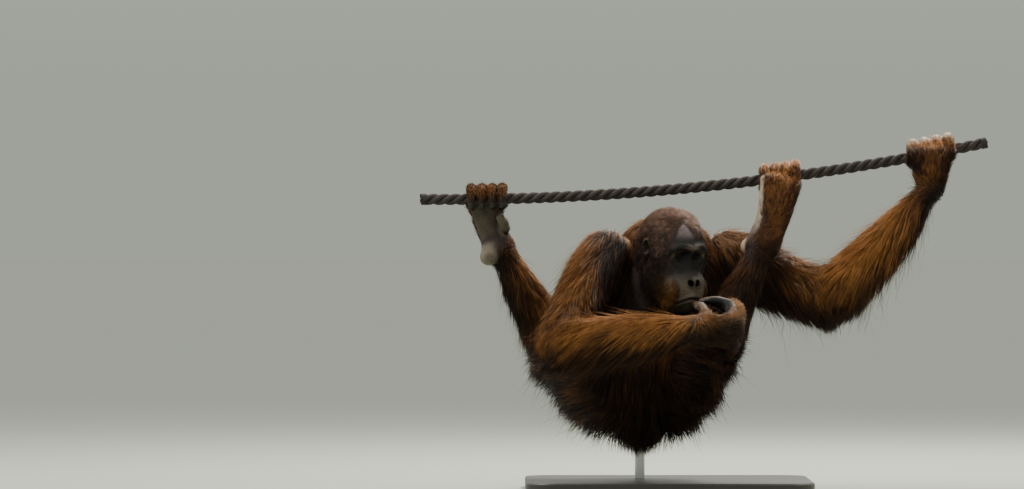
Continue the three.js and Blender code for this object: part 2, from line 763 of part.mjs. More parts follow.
const group = new THREE.Group();
const fitted = []; // the grown shape of each node so far
for (const [name, shape, finish] of PLAN) {
  let made = shape(0);
  for (const grown of fitted) if (made.intersect(grown).volume() > 0) made = made.subtract(grown);
  made = largest(made);
  fitted.push(shape(GAP).add(made));
  const { numProp, vertProperties, triVerts } = made.getMesh();
  const positions = new Float32Array((vertProperties.length / numProp) * 3);
  for (let i = 0; i < positions.length / 3; i++)
    positions.set(vertProperties.subarray(i * numProp, i * numProp + 3), i * 3);
  const geometry = new THREE.BufferGeometry();
  geometry.setAttribute("position", new THREE.BufferAttribute(positions, 3));
  geometry.setIndex(new THREE.BufferAttribute(triVerts, 1));
  geometry.computeVertexNormals();
  const mesh = new THREE.Mesh(geometry, finish);
  mesh.name = name;
  group.add(mesh);
}

export default group;
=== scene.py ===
"""An orangutan that hangs from a rope, life size: a skin under its long coat, the rope and a display stand.

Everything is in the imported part's frame, in metres: +X to the animal's left along the rope, -Y the side that
it looks to, +Z up. The skeleton's numbers are in millimetres, as in the part's own source, and MM turns them
into metres.
"""

import math
from collections import namedtuple

import bpy
import numpy as np
import openvdb
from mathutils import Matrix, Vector


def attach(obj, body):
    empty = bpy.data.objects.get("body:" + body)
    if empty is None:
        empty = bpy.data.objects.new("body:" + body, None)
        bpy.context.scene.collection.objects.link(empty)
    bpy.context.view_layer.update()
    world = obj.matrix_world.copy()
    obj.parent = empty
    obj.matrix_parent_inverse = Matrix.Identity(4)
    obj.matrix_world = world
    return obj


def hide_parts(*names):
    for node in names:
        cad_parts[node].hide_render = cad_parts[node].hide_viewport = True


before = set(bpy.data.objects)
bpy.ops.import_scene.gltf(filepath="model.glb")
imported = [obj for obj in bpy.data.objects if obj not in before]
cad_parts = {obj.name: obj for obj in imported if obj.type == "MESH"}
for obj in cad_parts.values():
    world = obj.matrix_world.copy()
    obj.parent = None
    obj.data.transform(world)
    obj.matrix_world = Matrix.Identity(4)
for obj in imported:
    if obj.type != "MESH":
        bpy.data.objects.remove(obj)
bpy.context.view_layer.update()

MM = 0.001
TURN = 2 * math.pi
random = np.random.default_rng(11)


def vec(x, y, z):
    """A place given in millimetres"""
    return np.array((x, y, z), float) * MM


def unit(v):
    return v / np.maximum(np.linalg.norm(v, axis=-1, keepdims=True), 1e-12)


def dot(a, b):
    """Each row of a with the same row of b"""
    return np.einsum("ij,ij->i", a, b)


def smooth(x, low, high):
    """0 below low, 1 above high, and an even slope between"""
    t = np.clip((x - low) / (high - low), 0, 1)
    return t * t * (3 - 2 * t)


def bump(x, spread):
    return np.exp(-((x / spread) ** 2))


def within(points, box, margin=0):
    """Which points lie in a box, or less than a margin outside it"""
    low, high = box
    return np.all((points > low - margin) & (points < high + margin), axis=1)


# Joints, as in the part
SHOULDER_R = vec(-136, -10, 533)
ELBOW_R = vec(-239, -195, 328)
WRIST_R = vec(73, -250, 371)
SHOULDER_L = vec(135, 92, 527)
ELBOW_L = vec(361, -70, 431)
WRIST_L = vec(586, -30, 672)
HIP_R = vec(-118, 38, 205)
KNEE_R = vec(-259, 110, 339)
ANKLE_R = vec(-369, 45, 533)
HIP_L = vec(5, 50, 205)
KNEE_L = vec(112, -120, 349)
ANKLE_L = vec(208, -74, 544)

# The head's own axes
HEAD_AT = vec(10, -85, 553)
HEAD_YAW = math.radians(31)
HEAD_PITCH = math.radians(12)
FACE = np.array((math.sin(HEAD_YAW), -math.cos(HEAD_YAW), 0)) * math.cos(HEAD_PITCH)
FACE[2] = -math.sin(HEAD_PITCH)
LEFT = np.array((math.cos(HEAD_YAW), math.sin(HEAD_YAW), 0))
CROWN = -np.cross(LEFT, FACE)
HEAD_AXES = np.array((FACE, LEFT, CROWN))


def head(f, l, u):
    """A place in the head: millimetres forward, left and up"""
    return HEAD_AT + np.array((f, l, u), float) * MM @ HEAD_AXES


def in_head(points):
    """Millimetres forward, left and up of places near the head"""
    return ((points - HEAD_AT) @ HEAD_AXES.T / MM).T


# The rope
ROPE_RADIUS = 13 * MM
ROPE_START = -545 * MM
ROPE_END = 705 * MM


def rope_z(x):
    return 0.651 + 0.0865 * (x + 0.5) ** 2


# Shapes that the skin is blended from. Each has a box, and a field: the distance to it, negative inside.
SPAN_STEPS = 16


def smooth_line(points, count):
    """Evenly spaced places on a centripetal curve through some points"""
    p = np.array(points, float)
    q = np.vstack([2 * p[0] - p[1], p, 2 * p[-1] - p[-2]])
    fine = []
    for p0, p1, p2, p3 in zip(q, q[1:], q[2:], q[3:]):
        d0, d1, d2 = (np.linalg.norm(b - a) ** 0.5 for a, b in ((p0, p1), (p1, p2), (p2, p3)))
        m1 = ((p1 - p0) / d0 - (p2 - p0) / (d0 + d1) + (p2 - p1) / d1) * d1
        m2 = ((p2 - p1) / d1 - (p3 - p1) / (d1 + d2) + (p3 - p2) / d2) * d1
        u = np.linspace(0, 1, SPAN_STEPS, endpoint=False)[:, None]
        square = 3 * (p2 - p1) - 2 * m1 - m2
        cube = 2 * (p1 - p2) + m1 + m2
        fine.append(p1 + m1 * u + square * u**2 + cube * u**3)
    fine = np.vstack(fine + [p[-1:]])
    far = np.concatenate([[0], np.cumsum(np.linalg.norm(np.diff(fine, axis=0), axis=1))])
    return np.stack([np.interp(np.linspace(0, far[-1], count), far, fine[:, i]) for i in range(3)], 1)


class Tube:
    """Oval sections along a curve. stations: [share of the length, half width, half depth] in millimetres"""

    def __init__(self, points, stations, across, count=9):
        self.line = smooth_line(points, count)
        share = np.linspace(0, 1, count)
        stations = np.array(stations, float)
        self.size = np.stack([np.interp(share, stations[:, 0], stations[:, i]) for i in (1, 2)], 1) * MM
        self.way = unit(np.gradient(self.line, axis=0))
        across = np.array(across, float)
        self.side = unit(across - self.way * (self.way @ across)[:, None])
        self.deep = np.cross(self.way, self.side)
        reach = self.size.max()
        self.box = (self.line.min(0) - reach, self.line.max(0) + reach)

    def nearest(self, points):
        """For each point, how far along the line its nearest place lies, counted in segments"""
        best = np.full(len(points), 1e9)
        where = np.zeros(len(points))
        for i, (a, b) in enumerate(zip(self.line, self.line[1:])):
            ab = b - a
            t = np.clip((points - a) @ ab / (ab @ ab), 0, 1)
            off = points - a - t[:, None] * ab
            far = dot(off, off)
            closer = far < best
            best[closer] = far[closer]
            where[closer] = (i + t)[closer]
        return where

    def share(self, where):
        """A place counted in segments, as a share of the length"""
        return where / (len(self.line) - 1)

    def at(self, table, where):
        low = np.minimum(where.astype(int), len(self.line) - 2)
        t = (where - low)[:, None]
        return table[low] * (1 - t) + table[low + 1] * t

    def local(self, points):
        """Offsets across, deep and along from the nearest place of the line, and that place"""
        where = self.nearest(points)
        off = points - self.at(self.line, where)
        return *(dot(off, self.at(axis, where)) for axis in (self.side, self.deep, self.way)), where

    def field(self, points):
        a, b, c, where = self.local(points)
        width, depth = self.at(self.size, where).T
        far = np.sqrt(a * a + b * b + c * c)
        ratio = np.sqrt((a / width) ** 2 + (b / depth) ** 2 + (c / np.minimum(width, depth)) ** 2)
        return far - far / np.maximum(ratio, 1e-6)

    def unwrap(self, points):
        """Share of the length and turn round it, both from 0 to 1"""
        a, b, _, where = self.local(points)
        return self.share(where), np.arctan2(b, a) / TURN + 0.5


class Ball:
    """An oval ball; its half sizes are in millimetres along its own axes"""

    def __init__(self, at, half, axes=((1, 0, 0), (0, 1, 0), (0, 0, 1))):
        self.centre = np.array(at, float)
        self.half = np.array(half, float) * MM
        self.axes = unit(np.array(axes, float))
        reach = self.half.max()
        self.box = (self.centre - reach, self.centre + reach)

    def field(self, points):
        off = (points - self.centre) @ self.axes.T
        far = np.linalg.norm(off, axis=1)
        ratio = np.linalg.norm(off / self.half, axis=1)
        return far - far / np.maximum(ratio, 1e-6)


# The head: rounded masses blended together, and the relief of the face on them
HEAD_MASSES = [
    ((-8, 0, 12), (78, 63, 62)),  # braincase
    ((-34, 0, -24), (52, 56, 52)),  # nape
    ((43, 0, 0), (30, 46, 22)),  # brow
    ((30, 40, -28), (28, 24, 32)),  # cheekbones
    ((30, -40, -28), (28, 24, 32)),
    ((42, 0, -48), (30, 36, 34)),  # middle of the face
    ((70, 0, -88), (33, 50, 37)),  # muzzle
    ((50, 0, -122), (40, 40, 28)),  # lower jaw
    ((16, 38, -76), (38, 25, 37)),  # angles of the jaw
    ((16, -38, -76), (38, 25, 37)),
]
HEAD_BLEND = 9
HEAD_REACH = 0.17
HEAD_CORE = (10, -30)
EYE_SPREAD = 20
EYE_FORWARD = 53
EYE_HEIGHT = -10
EYE_RADIUS = 12
MOUTH_HEIGHT = -104
MOUTH_DROOP = 0.013
MOUTH_HALF = 33
NOSTRIL_HEIGHT = -70
NOSTRIL_SPREAD = 8.4
EAR_SPREAD = 68
EAR_HEIGHT = -10


def mouth_line(l):
    """Height of the line of the mouth; it falls towards the corners"""
    return MOUTH_HEIGHT - MOUTH_DROOP * np.minimum(np.abs(l), MOUTH_HALF) ** 2


def from_eye(wide, u):
    """How far a place of the face is from the eye's middle, in millimetres"""
    return np.hypot((wide - EYE_SPREAD) * 0.86, u - EYE_HEIGHT)


def by_ear(f, wide, u, spread):
    """1 at the ear, and falling away round it"""
    return bump(np.hypot(wide - EAR_SPREAD, np.hypot(f + 4, u - EAR_HEIGHT) * 0.8), spread)


def face_relief(f, l, u):
    """How far the face stands out beyond the blended masses: each feature's height in millimetres"""
    wide = np.abs(l)
    socket = -11 * bump(wide - EYE_SPREAD, 14) * bump(u - EYE_HEIGHT + 2, 12)
    rim = 2.6 * bump(from_eye(wide, u) - 21, 5) * smooth(u, -16, 4)
    brow = 4.6 * bump(u - EYE_HEIGHT - 17 + 0.006 * wide**2, 8) * bump(wide - 14, 30)
    bridge = 2 * bump(l, 9) * bump(u + 34, 18)
    near_nostril = np.hypot(wide - 9, (u - NOSTRIL_HEIGHT) * 0.95)
    wings = 2.2 * bump(near_nostril - 8, 3.6)
    nose = 4 * bump(l, 7.5) * bump(u - NOSTRIL_HEIGHT - 7, 10)
    groove = -1.3 * bump(l, 3) * bump(u - NOSTRIL_HEIGHT + 18, 11)
    line = u - mouth_line(l)
    lips = 3 * bump(line - 6, 5) + 4 * bump(line + 7, 5.5)
    bags = -1.7 * bump(u - EYE_HEIGHT + 15, 2.4) * bump(wide - 22, 13)
    bags = bags - 1.2 * bump(u - EYE_HEIGHT + 22, 2.4) * bump(wide - 24, 12)
    folds = -1.8 * bump(u + 42 - 0.9 * (wide - 30) + 0.02 * (wide - 34) ** 2, 6) * bump(wide - 34, 12)
    creases = 0.5 * np.sin(l * 1.7 + 0.12 * u) * bump(u - MOUTH_HEIGHT - 12, 12) * smooth(f, 60, 80)
    features = socket + rim + brow + bridge + wings + nose + groove + bags + folds + creases
    return smooth(f, 22, 44) * features + smooth(f, 48, 68) * lips


class Head:
    box = (HEAD_AT - HEAD_REACH, HEAD_AT + HEAD_REACH)

    def field(self, points):
        f, l, u = in_head(points)
        total = 0
        for at, half in HEAD_MASSES:
            q = [(x - c) / h for x, c, h in zip((f, l, u), at, half)]
            far = np.sqrt(sum(x * x for x in q))
            steep = np.sqrt(sum((x / h) ** 2 for x, h in zip(q, half)))
            total = total + np.exp(-far * (far - 1) / np.maximum(steep, 1e-9) / HEAD_BLEND)
        return (-HEAD_BLEND * np.log(np.maximum(total, 1e-30)) - face_relief(f, l, u)) * MM

    def unwrap(self, points):
        """Share of the way from crown to chin and turn round the head, both from 0 to 1"""
        f, l, u = in_head(points)
        f = f - HEAD_CORE[0]
        return np.arctan2(np.hypot(f, l), -(u - HEAD_CORE[1])) / math.pi, np.arctan2(l, f) / TURN + 0.5


whole_head = Head()


def face_front(l, u):
    """How far forward the face is at a place left and up of its middle, in millimetres"""
    reach = np.arange(140, 0, -0.25)
    far = whole_head.field(np.array([head(f, l, u) for f in reach]))
    return reach[np.argmax(far < 0)]


LIMB_DEPTH = 0.94
LIMB_ACROSS = (0.6, 0.5, 0.62)
ALONG_ROPE = (1, 0, 0)
# Share of the length, and half width and half depth as shares of the digit's radius
DIGIT_STATIONS = [
    (0, 1.05, 1),
    (0.2, 0.92, 0.9),
    (0.38, 1.06, 1.02),
    (0.52, 0.9, 0.88),
    (0.68, 1.03, 0.98),
    (0.84, 0.88, 0.82),
    (1, 0.78, 0.68),
]


def limb(start, end, radii, bend=(0, 0, 0), share=0.5):
    """A limb from joint to joint; bend shifts the place at a share of the way off the straight line"""
    middle = start + (end - start) * share + vec(*bend)
    return Tube([start, middle, end], [(t, r, r * LIMB_DEPTH) for t, r in radii], LIMB_ACROSS)


def digit(points, radius, across=ALONG_ROPE):
    """A finger or toe: thick at its joints, slim between them"""
    return Tube(points, [(t, w * radius, d * radius) for t, w, d in DIGIT_STATIONS], across, 12)


def grip(middle, side, space, radius, palm_drop, tip_drop):
    """Four digits side by side over the rope, each from the palm's side to the far side"""
    reach = ROPE_RADIUS / MM + radius + 0.3
    digits = []
    for n in range(4):
        x = middle + (n - 1.5) * space
        z = rope_z(x * MM) / MM
        line = [
            vec(x, -side * reach, z - palm_drop),
            vec(x, -side * reach * 1.02, z + reach * 0.35),
            vec(x, -side * reach * 0.45, z + reach * 1.02),
            vec(x, side * reach * 0.5, z + reach * 0.98),
            vec(x, side * reach * 1.04, z + reach * 0.2),
            vec(x, side * reach * 0.98, z - tip_drop),
        ]
        digits.append(digit(line, radius))
    return digits


trunk = Tube(
    [
        vec(-62, 48, 181),
        vec(-57, 44, 240),
        vec(-42, 38, 315),
        vec(-25, 45, 400),
        vec(-8, 52, 480),
        vec(2, 52, 548),
    ],
    [
        (0, 80, 70),
        (0.15, 112, 96),
        (0.35, 130, 118),
        (0.55, 132, 116),
        (0.75, 132, 100),
        (0.9, 122, 78),
        (1, 96, 56),
    ],
    (0.97, 0.22, 0),
    14,
)
nape = Tube(
    [vec(0, 45, 530), vec(4, -20, 532), HEAD_AT + vec(-6, 40, -22)],
    [(0, 82, 70), (0.5, 74, 66), (1, 62, 62)],
    (1, 0.2, 0),
)
throat = Ball(vec(-20, -50, 470), (62, 48, 82))
# Limbs: share of the length and radius, from the upper joint to the lower one
THIGH = [(0, 72), (0.35, 72), (0.7, 62), (1, 50)]
SHANK = [(0, 47), (0.3, 41), (0.65, 31), (1, 24)]
UPPER_ARM = [(0, 50), (0.25, 53), (0.6, 47), (1, 42)]
FOREARM = [(0, 44), (0.25, 44), (0.6, 36), (1, 22)]
forearm_left = limb(ELBOW_L, WRIST_L, FOREARM, (0, 0, -6))

palm_left = Tube(
    [WRIST_L, vec(587, -36, 715), vec(586, -36, 752)],
    [(0, 27, 22), (0.5, 38, 18), (1, 50, 15)],
    (1, 0, 0.19),
)
grip_left = grip(587, 1, 26, 13, 12, 16)
thumb_left = digit([vec(596, -24, 700), vec(606, -6, 714), vec(604, 12, 730)], 10)

TOE = 9.5
TOE_SPACE = 23
sole_left = Tube(
    [ANKLE_L, vec(230, -60, 606), vec(250, -35, 688)],
    [(0, 32, 28), (0.4, 34, 20), (1, 45, 15)],
    (1, 0.1, 0.1),
)
heel_left = Tube(
    [vec(212, -62, 572), vec(190, -44, 552), vec(180, -34, 546)],
    [(0, 24, 22), (1, 18, 18)],
    (0, 0, 1),
)
toes_left = grip(250, 1, TOE_SPACE, TOE, 24, 14)
big_toe_left = digit([vec(256, -40, 622), vec(262, -16, 634), vec(258, 8, 652)], 11)

sole_right = Tube(
    [vec(-378, 42, 545), vec(-400, 34, 585), vec(-407, 30, 640)],
    [(0, 28, 25), (0.45, 26, 17), (1, 40, 13)],
    (1, 0, 0),
)
heel_right = Tube(
    [vec(-380, 42, 560), vec(-398, 24, 530), vec(-402, 18, 522)],
    [(0, 24, 22), (1, 19, 19)],
    (0, 0, 1),
)
toes_right = grip(-406, -1, TOE_SPACE, TOE, 14, 14)
big_toe_right = digit([vec(-374, 30, 568), vec(-367, 16, 592), vec(-376, 2, 611)], 12)

# The right hand is half closed: its four fingers bend round an axis, one step apart along it
FIST_AXIS = np.array((0, -0.42, 0.91))
FIST_STEP = 19 * MM
FIST_MIDDLE = vec(104, -230, 402)
palm_right = Tube(
    [WRIST_R, vec(106, -256, 363), vec(138, -254, 356)],
    [(0, 26, 22), (0.5, 34, 18), (1, 35, 15)],
    FIST_AXIS,
)
knuckles_right = Tube(
    [vec(132, -264, 380), vec(138, -242, 398), vec(132, -216, 410)],
    [(0, 18, 18), (0.5, 19, 20), (1, 16, 15)],
    (1, 0, 0),
)
thumb_right = digit([vec(88, -262, 382), vec(77, -240, 400), vec(67, -206, 414), vec(60, -180, 412)], 10.5)
fingers_right = []
for n in range(4):
    line = [
        vec(136, -266, 382),
        vec(149 - 4 * n, -250, 394),
        vec(144 - 4 * n, -222, 411),
        vec(116, -202 - 3 * n, 423),
        vec(86 + 4 * n, -190 - 6 * n, 425),
        vec(58 + 13 * n, -167 - 13 * n, 417),
    ]
    fingers_right.append(digit([place - FIST_AXIS * FIST_STEP * n for place in line], 11, FIST_AXIS))

# The colours of the bare skin of hands and feet
PALE_PARTS = [
    ([sole_right], (0.062, 0.05, 0.036)),
    (toes_right, (0.022, 0.015, 0.01)),
    ([big_toe_right], (0.1, 0.082, 0.06)),
    ([heel_right], (0.16, 0.135, 0.098)),
    ([sole_left], (0.26, 0.2, 0.135)),
    ([heel_left], (0.36, 0.29, 0.2)),
    ([*toes_left, big_toe_left], (0.034, 0.022, 0.014)),
    ([palm_left, thumb_left], (0.12, 0.09, 0.07)),
    (grip_left, (0.11, 0.086, 0.066)),
    ([palm_right, knuckles_right], (0.09, 0.066, 0.05)),
    ([*fingers_right, thumb_right], (0.085, 0.06, 0.043)),
]

# What the hair does on each part. long and lift: its length in millimetres, and how steeply it stands off.
# way: 1 when it runs along the part's own line, -1 against it. dark: its colour, from orange to near black.
# amount: how many hairs, 1 where the coat is full. back: the side that carries hair, if not all round.
Hair = namedtuple("Hair", "part long lift way dark amount back", defaults=(None,))
HAIR = {
    "trunk": Hair(trunk, 85, 0.16, -1, 0.66, 1),
    "nape": Hair(nape, 55, 0.15, -1, 0.6, 0.9),
    "throat": Hair(throat, 40, 0.1, 0, 0.85, 0.35),
    "head": Hair(whole_head, 28, 0.12, 0, 0.64, 2.6),
    "upper_arm_right": Hair(limb(SHOULDER_R, ELBOW_R, UPPER_ARM, (-8, 0, 0)), 88, 0.16, 1, 0.66, 1.1),
    "upper_arm_left": Hair(limb(SHOULDER_L, ELBOW_L, UPPER_ARM, (0, 0, -6)), 90, 0.18, 1, 0.72, 1.1),
    "forearm_right": Hair(limb(ELBOW_R, WRIST_R, FOREARM, (-8, 0, 0)), 85, 0.14, -1, 0.38, 1.25),
    "forearm_left": Hair(forearm_left, 92, 0.18, -1, 0.34, 1.25),
    "thigh_right": Hair(limb(HIP_R, KNEE_R, THIGH), 85, 0.17, 1, 0.6, 1),
    # the left thigh and left shank are set much darker than the right leg: painted shade over the coat's own
    # colour
    "thigh_left": Hair(limb(HIP_L, KNEE_L, THIGH), 85, 0.17, 1, 0.78, 1),
    "shank_right": Hair(limb(KNEE_R, ANKLE_R, SHANK, (-4, -6, 0), 0.4), 62, 0.18, -1, 0.35, 1.2),
    "shank_left": Hair(limb(KNEE_L, ANKLE_L, SHANK, (0, -4, 0), 0.4), 50, 0.12, -1, 0.95, 1.3),
    "palm_left": Hair(palm_left, 24, 0.2, 1, 0.55, 1.6, (0, -1, 0)),
    "sole_left": Hair(sole_left, 18, 0.16, 1, 0.58, 1.6, (0.93, -0.36, 0)),
    "heel_left": Hair(heel_left, 0, 0, 0, 0.5, 0),
    "sole_right": Hair(sole_right, 22, 0.18, 1, 0.3, 1.6, (0, 1, 0)),
    "heel_right": Hair(heel_right, 0, 0, 0, 0.5, 0),
    "palm_right": Hair(palm_right, 16, 0.16, 1, 0.45, 1.3, (0, -0.9, -0.4)),
    "knuckles_right": Hair(knuckles_right, 17, 0.3, 1, 0.36, 1.7, (0.93, -0.3, -0.2)),
}
DIGITS = [thumb_left, big_toe_left, big_toe_right, thumb_right]
DIGITS += [*fingers_right, *grip_left, *toes_left, *toes_right]
# How far along each digit its back is haired
DIGIT_HAIR = [0.3, 0.4, 0.35, 0.2, *[0.22] * 4, *[0.24] * 4, *[0.7] * 4, *[0.74] * 4]
# How softly the shapes run into each other
BODY_BLEND = 8 * MM
DIGIT_BLEND = 2.2 * MM
DIGIT_TO_BODY = 3.5 * MM
LID_BLEND = 1.6 * MM
HOLLOW_BLEND = 0.7 * MM
MOUTH_DEPTH = 6

# Lids, nostrils, the line of the mouth and the hollows of the ears
lids, openings, nostrils, ears, ear_hollows = [], [], [], [], []
for s in (-1, 1):
    lids.append(Ball(head(EYE_FORWARD, s * EYE_SPREAD, EYE_HEIGHT), (14.4, 16, 13.4), HEAD_AXES))
    opening_at = head(EYE_FORWARD + 15, s * (EYE_SPREAD + 1), EYE_HEIGHT - 1)
    openings.append(Ball(opening_at, (11, 11.5, 3.7), HEAD_AXES))
    side = s * NOSTRIL_SPREAD
    nostril_at = head(face_front(side, NOSTRIL_HEIGHT) + 1, side, NOSTRIL_HEIGHT)
    slanted = (FACE, unit(LEFT - 0.5 * s * CROWN), unit(CROWN + 0.5 * s * LEFT))
    nostrils.append(Ball(nostril_at, (8, 5.5, 7.4), slanted))
    ears.append(Ball(head(-6, s * (EAR_SPREAD - 4), EAR_HEIGHT), (13, 11, 20), HEAD_AXES))
    ear_hollows.append(Ball(head(-3, s * (EAR_SPREAD + 6), EAR_HEIGHT), (10, 14, 16.5), HEAD_AXES))


def gather(shapes, points, blend):
    """The blended field of some shapes, each worked out only near itself"""
    total = np.zeros(len(points))
    for shape in shapes:
        near = within(points, shape.box, blend * 7)
        if near.any():
            total[near] += np.exp(-np.maximum(shape.field(points[near]), -0.2) / blend)
    return -blend * np.log(np.maximum(total, 1e-9))


def skin_field(points):
    """Distance to the skin, negative inside, good near the skin"""
    body = gather([row.part for row in HAIR.values()], points, BODY_BLEND)
    digits = gather(DIGITS, points, DIGIT_BLEND)
    field = -DIGIT_TO_BODY * np.logaddexp(-body / DIGIT_TO_BODY, -digits / DIGIT_TO_BODY)
    near = within(points, Head.box)
    if near.any():
        p = points[near]
        d = field[near]
        for shape in lids + ears:
            d = -LID_BLEND * np.logaddexp(-d / LID_BLEND, -shape.field(p) / LID_BLEND)
        for shape in openings + nostrils + ear_hollows:
            d = HOLLOW_BLEND * np.logaddexp(d / HOLLOW_BLEND, -shape.field(p) / HOLLOW_BLEND)
        f, l, u = in_head(p)
        mouth = MOUTH_DEPTH * bump(u - mouth_line(l), 1.9) * smooth(f, 56, 70)
        mouth = mouth * (1 - smooth(np.abs(l), 28, 38))
        field[near] = d + mouth * MM * smooth(-d, -0.012, 0)
    return field


# The skin's mesh: from a grid, then finer on the face, ears, hands and feet, and drawn onto the field
CELL = 4 * MM
GRID_LOW = np.array((-0.50, -0.33, 0.03))
GRID_SHAPE = (300, 145, 200)
BLOCK = 4
BATCH = 400000
DEEPEST = -0.03
FARTHEST = 0.05


def grid_field():
    """The field on a grid: exact near the skin, rough far from it"""
    index = np.stack(np.meshgrid(*[np.arange(0, n, BLOCK) for n in GRID_SHAPE], indexing="ij"), -1)
    rough = skin_field(GRID_LOW + CELL * (index.reshape(-1, 3) + (BLOCK - 1) / 2)).reshape(index.shape[:3])
    field = np.clip(np.kron(rough, np.ones((BLOCK,) * 3)), DEEPEST, FARTHEST)
    near = np.argwhere((field > -0.018) & (field < 0.034))
    for start in range(0, len(near), BATCH):
        part = near[start : start + BATCH]
        field[tuple(part.T)] = skin_field(GRID_LOW + CELL * part)
    return np.clip(field, DEEPEST, FARTHEST)


def sample(points):
    """The field at places between the grid's own"""
    q = np.clip((points - GRID_LOW) / CELL, 0, np.array(GRID_SHAPE) - 1.001)
    i = q.astype(int)
    t = q - i
    total = 0
    for corner in np.ndindex(2, 2, 2):
        weight = np.prod(np.where(corner, t, 1 - t), axis=1)
        total = total + weight * grid[i[:, 0] + corner[0], i[:, 1] + corner[1], i[:, 2] + corner[2]]
    return total


def slope(field, points, step):
    """The outward direction of a field"""
    return unit(np.stack([field(points + axis) - field(points - axis) for axis in np.eye(3) * step], 1))


def face_normals(points, faces):
    """Each triangle's outward direction, as long as twice its area"""
    corner = points[faces]
    return np.cross(corner[:, 1] - corner[:, 0], corner[:, 2] - corner[:, 0])


# What a triangle with one, two or three halved edges is split into. 0 to 2 are its corners, and 3 to 5 the
# middles of the edges that start at them.
SPLIT_ONE = ((0, 3, 2), (3, 1, 2))
SPLIT_TWO = ((0, 3, 2), (3, 1, 4), (3, 4, 2))
SPLIT_THREE = ((0, 3, 5), (3, 1, 4), (5, 4, 2), (3, 4, 5))


def split_faces(points, faces, chosen):
    """Halves the edges of the chosen triangles, and splits their neighbours to fit"""
    edges = np.sort(np.stack([faces, np.roll(faces, -1, axis=1)], -1), axis=-1)
    key = edges[..., 0] * len(points) + edges[..., 1]
    cut = np.unique(key[chosen])
    place = np.minimum(np.searchsorted(cut, key), len(cut) - 1)
    has = cut[place] == key
    middle = np.where(has, len(points) + place, -1)
    count = has.sum(1)
    whole = np.hstack([faces, middle])[count == 3]
    out = [faces[count == 0]] + [whole[:, corners] for corners in SPLIT_THREE]
    for turn in range(3):
        both = np.hstack([np.roll(faces, -turn, axis=1), np.roll(middle, -turn, axis=1)])
        h = np.roll(has, -turn, axis=1)
        one = both[(count == 1) & h[:, 0]]
        two = both[(count == 2) & h[:, 0] & h[:, 1]]
        out += [one[:, corners] for corners in SPLIT_ONE] + [two[:, corners] for corners in SPLIT_TWO]
    a, b = cut // len(points), cut % len(points)
    return np.vstack([points, (points[a] + points[b]) / 2]), np.vstack(out)


def build_skin():
    """The points and triangles of the skin"""
    volume = openvdb.FloatGrid()
    volume.copyFromArray(grid.astype(np.float32))
    points, quads = volume.convertToQuads(0)
    points = points.astype(float) * CELL + GRID_LOW
    faces = np.vstack([quads[:, [0, 1, 2]], quads[:, [0, 2, 3]]]).astype(np.int64)
    outward = slope(sample, points[faces].mean(1), CELL)
    if np.einsum("ij,ij->", face_normals(points, faces), outward) < 0:
        faces = faces[:, ::-1].copy()
    for level in range(2):
        middle = points[faces].mean(1)
        f, l, u = in_head(middle)
        wide = np.abs(l)
        face = (f > 14) & (f < 130) & (wide < 60) & (np.abs(u + 45) < 105)
        ear = (np.abs(f + 6) < 16) & (np.abs(wide - 66) < 14) & (np.abs(u - EAR_HEIGHT) < 24)
        chosen = face | ear
        if level == 0:
            for shape in DIGITS + [heel_left, heel_right, sole_right, palm_right]:
                chosen |= within(middle, shape.box, 2 * MM)
        old = len(points)
        drawn = np.zeros(old, bool)
        drawn[faces[chosen].ravel()] = True
        points, faces = split_faces(points, faces, chosen)
        drawn = np.concatenate([drawn, np.ones(len(points) - old, bool)])
        for _ in range(2):
            p = points[drawn]
            step = np.clip(skin_field(p), -2 * MM, 2 * MM)[:, None]
            points[drawn] = p - slope(skin_field, p, 0.4 * MM) * step
    return points, faces


def point_normals(points, faces):
    """Each point's outward direction, from the triangles round it"""
    normal = face_normals(points, faces)
    total = [np.bincount(faces.ravel(), np.repeat(normal[:, i], 3), len(points)) for i in range(3)]
    return unit(np.stack(total, 1))


def mesh_object(name, points, faces, finish):
    mesh = bpy.data.meshes.new(name)
    mesh.vertices.add(len(points))
    mesh.vertices.foreach_set("co", points.astype(np.float32).ravel())
    mesh.loops.add(faces.size)
    mesh.loops.foreach_set("vertex_index", faces.astype(np.int32).ravel())
    mesh.polygons.add(len(faces))
    mesh.polygons.foreach_set("loop_start", np.arange(0, faces.size, faces.shape[1], dtype=np.int32))
    mesh.polygons.foreach_set("use_smooth", np.ones(len(faces), bool))
    mesh.update(calc_edges=True)
    mesh.validate()
    mesh.materials.append(finish)
    made = bpy.data.objects.new(name, mesh)
    bpy.context.scene.collection.objects.link(made)
    return made


def add_colours(made, colours):
    layer = made.data.color_attributes.new("tint", "FLOAT_COLOR", "POINT")
    rgba = np.ones((len(colours), 4), np.float32)
    rgba[:, :3] = colours
    layer.data.foreach_set("color", rgba.ravel())


def add_map(made, uv, name="OFBake"):
    layer = made.data.uv_layers.new(name=name)
    layer.data.foreach_set("uv", uv.astype(np.float32).ravel())


# An unwrap of the skin: each part has its own cell, with its length up and the turn round it across.
# The throat has none, and lies in the trunk's.
CELLS = [name for name in HAIR if name != "throat"]
CELL_OF = np.array([CELLS.index("trunk" if name == "throat" else name) for name in HAIR])
CELL_ROW = 5
CELL_EDGE = 0.05
CELL_USED = 0.9


def unwrap(points, zone, around=None):
    """Places on the map for points of given parts; around keeps one face's corners together at a seam"""
    uv = np.zeros((len(points), 2))
    for index, name in enumerate(CELLS):
        mine = zone == index
        if not mine.any():
            continue
        share, turn = HAIR[name].part.unwrap(points[mine])
        if around is not None:
            turn = turn + np.round(around[mine] - turn)
        uv[mine, 0] = (index % CELL_ROW + CELL_EDGE + CELL_USED * turn) / CELL_ROW
        uv[mine, 1] = (index // CELL_ROW + CELL_EDGE + CELL_USED * share) / CELL_ROW
    return uv


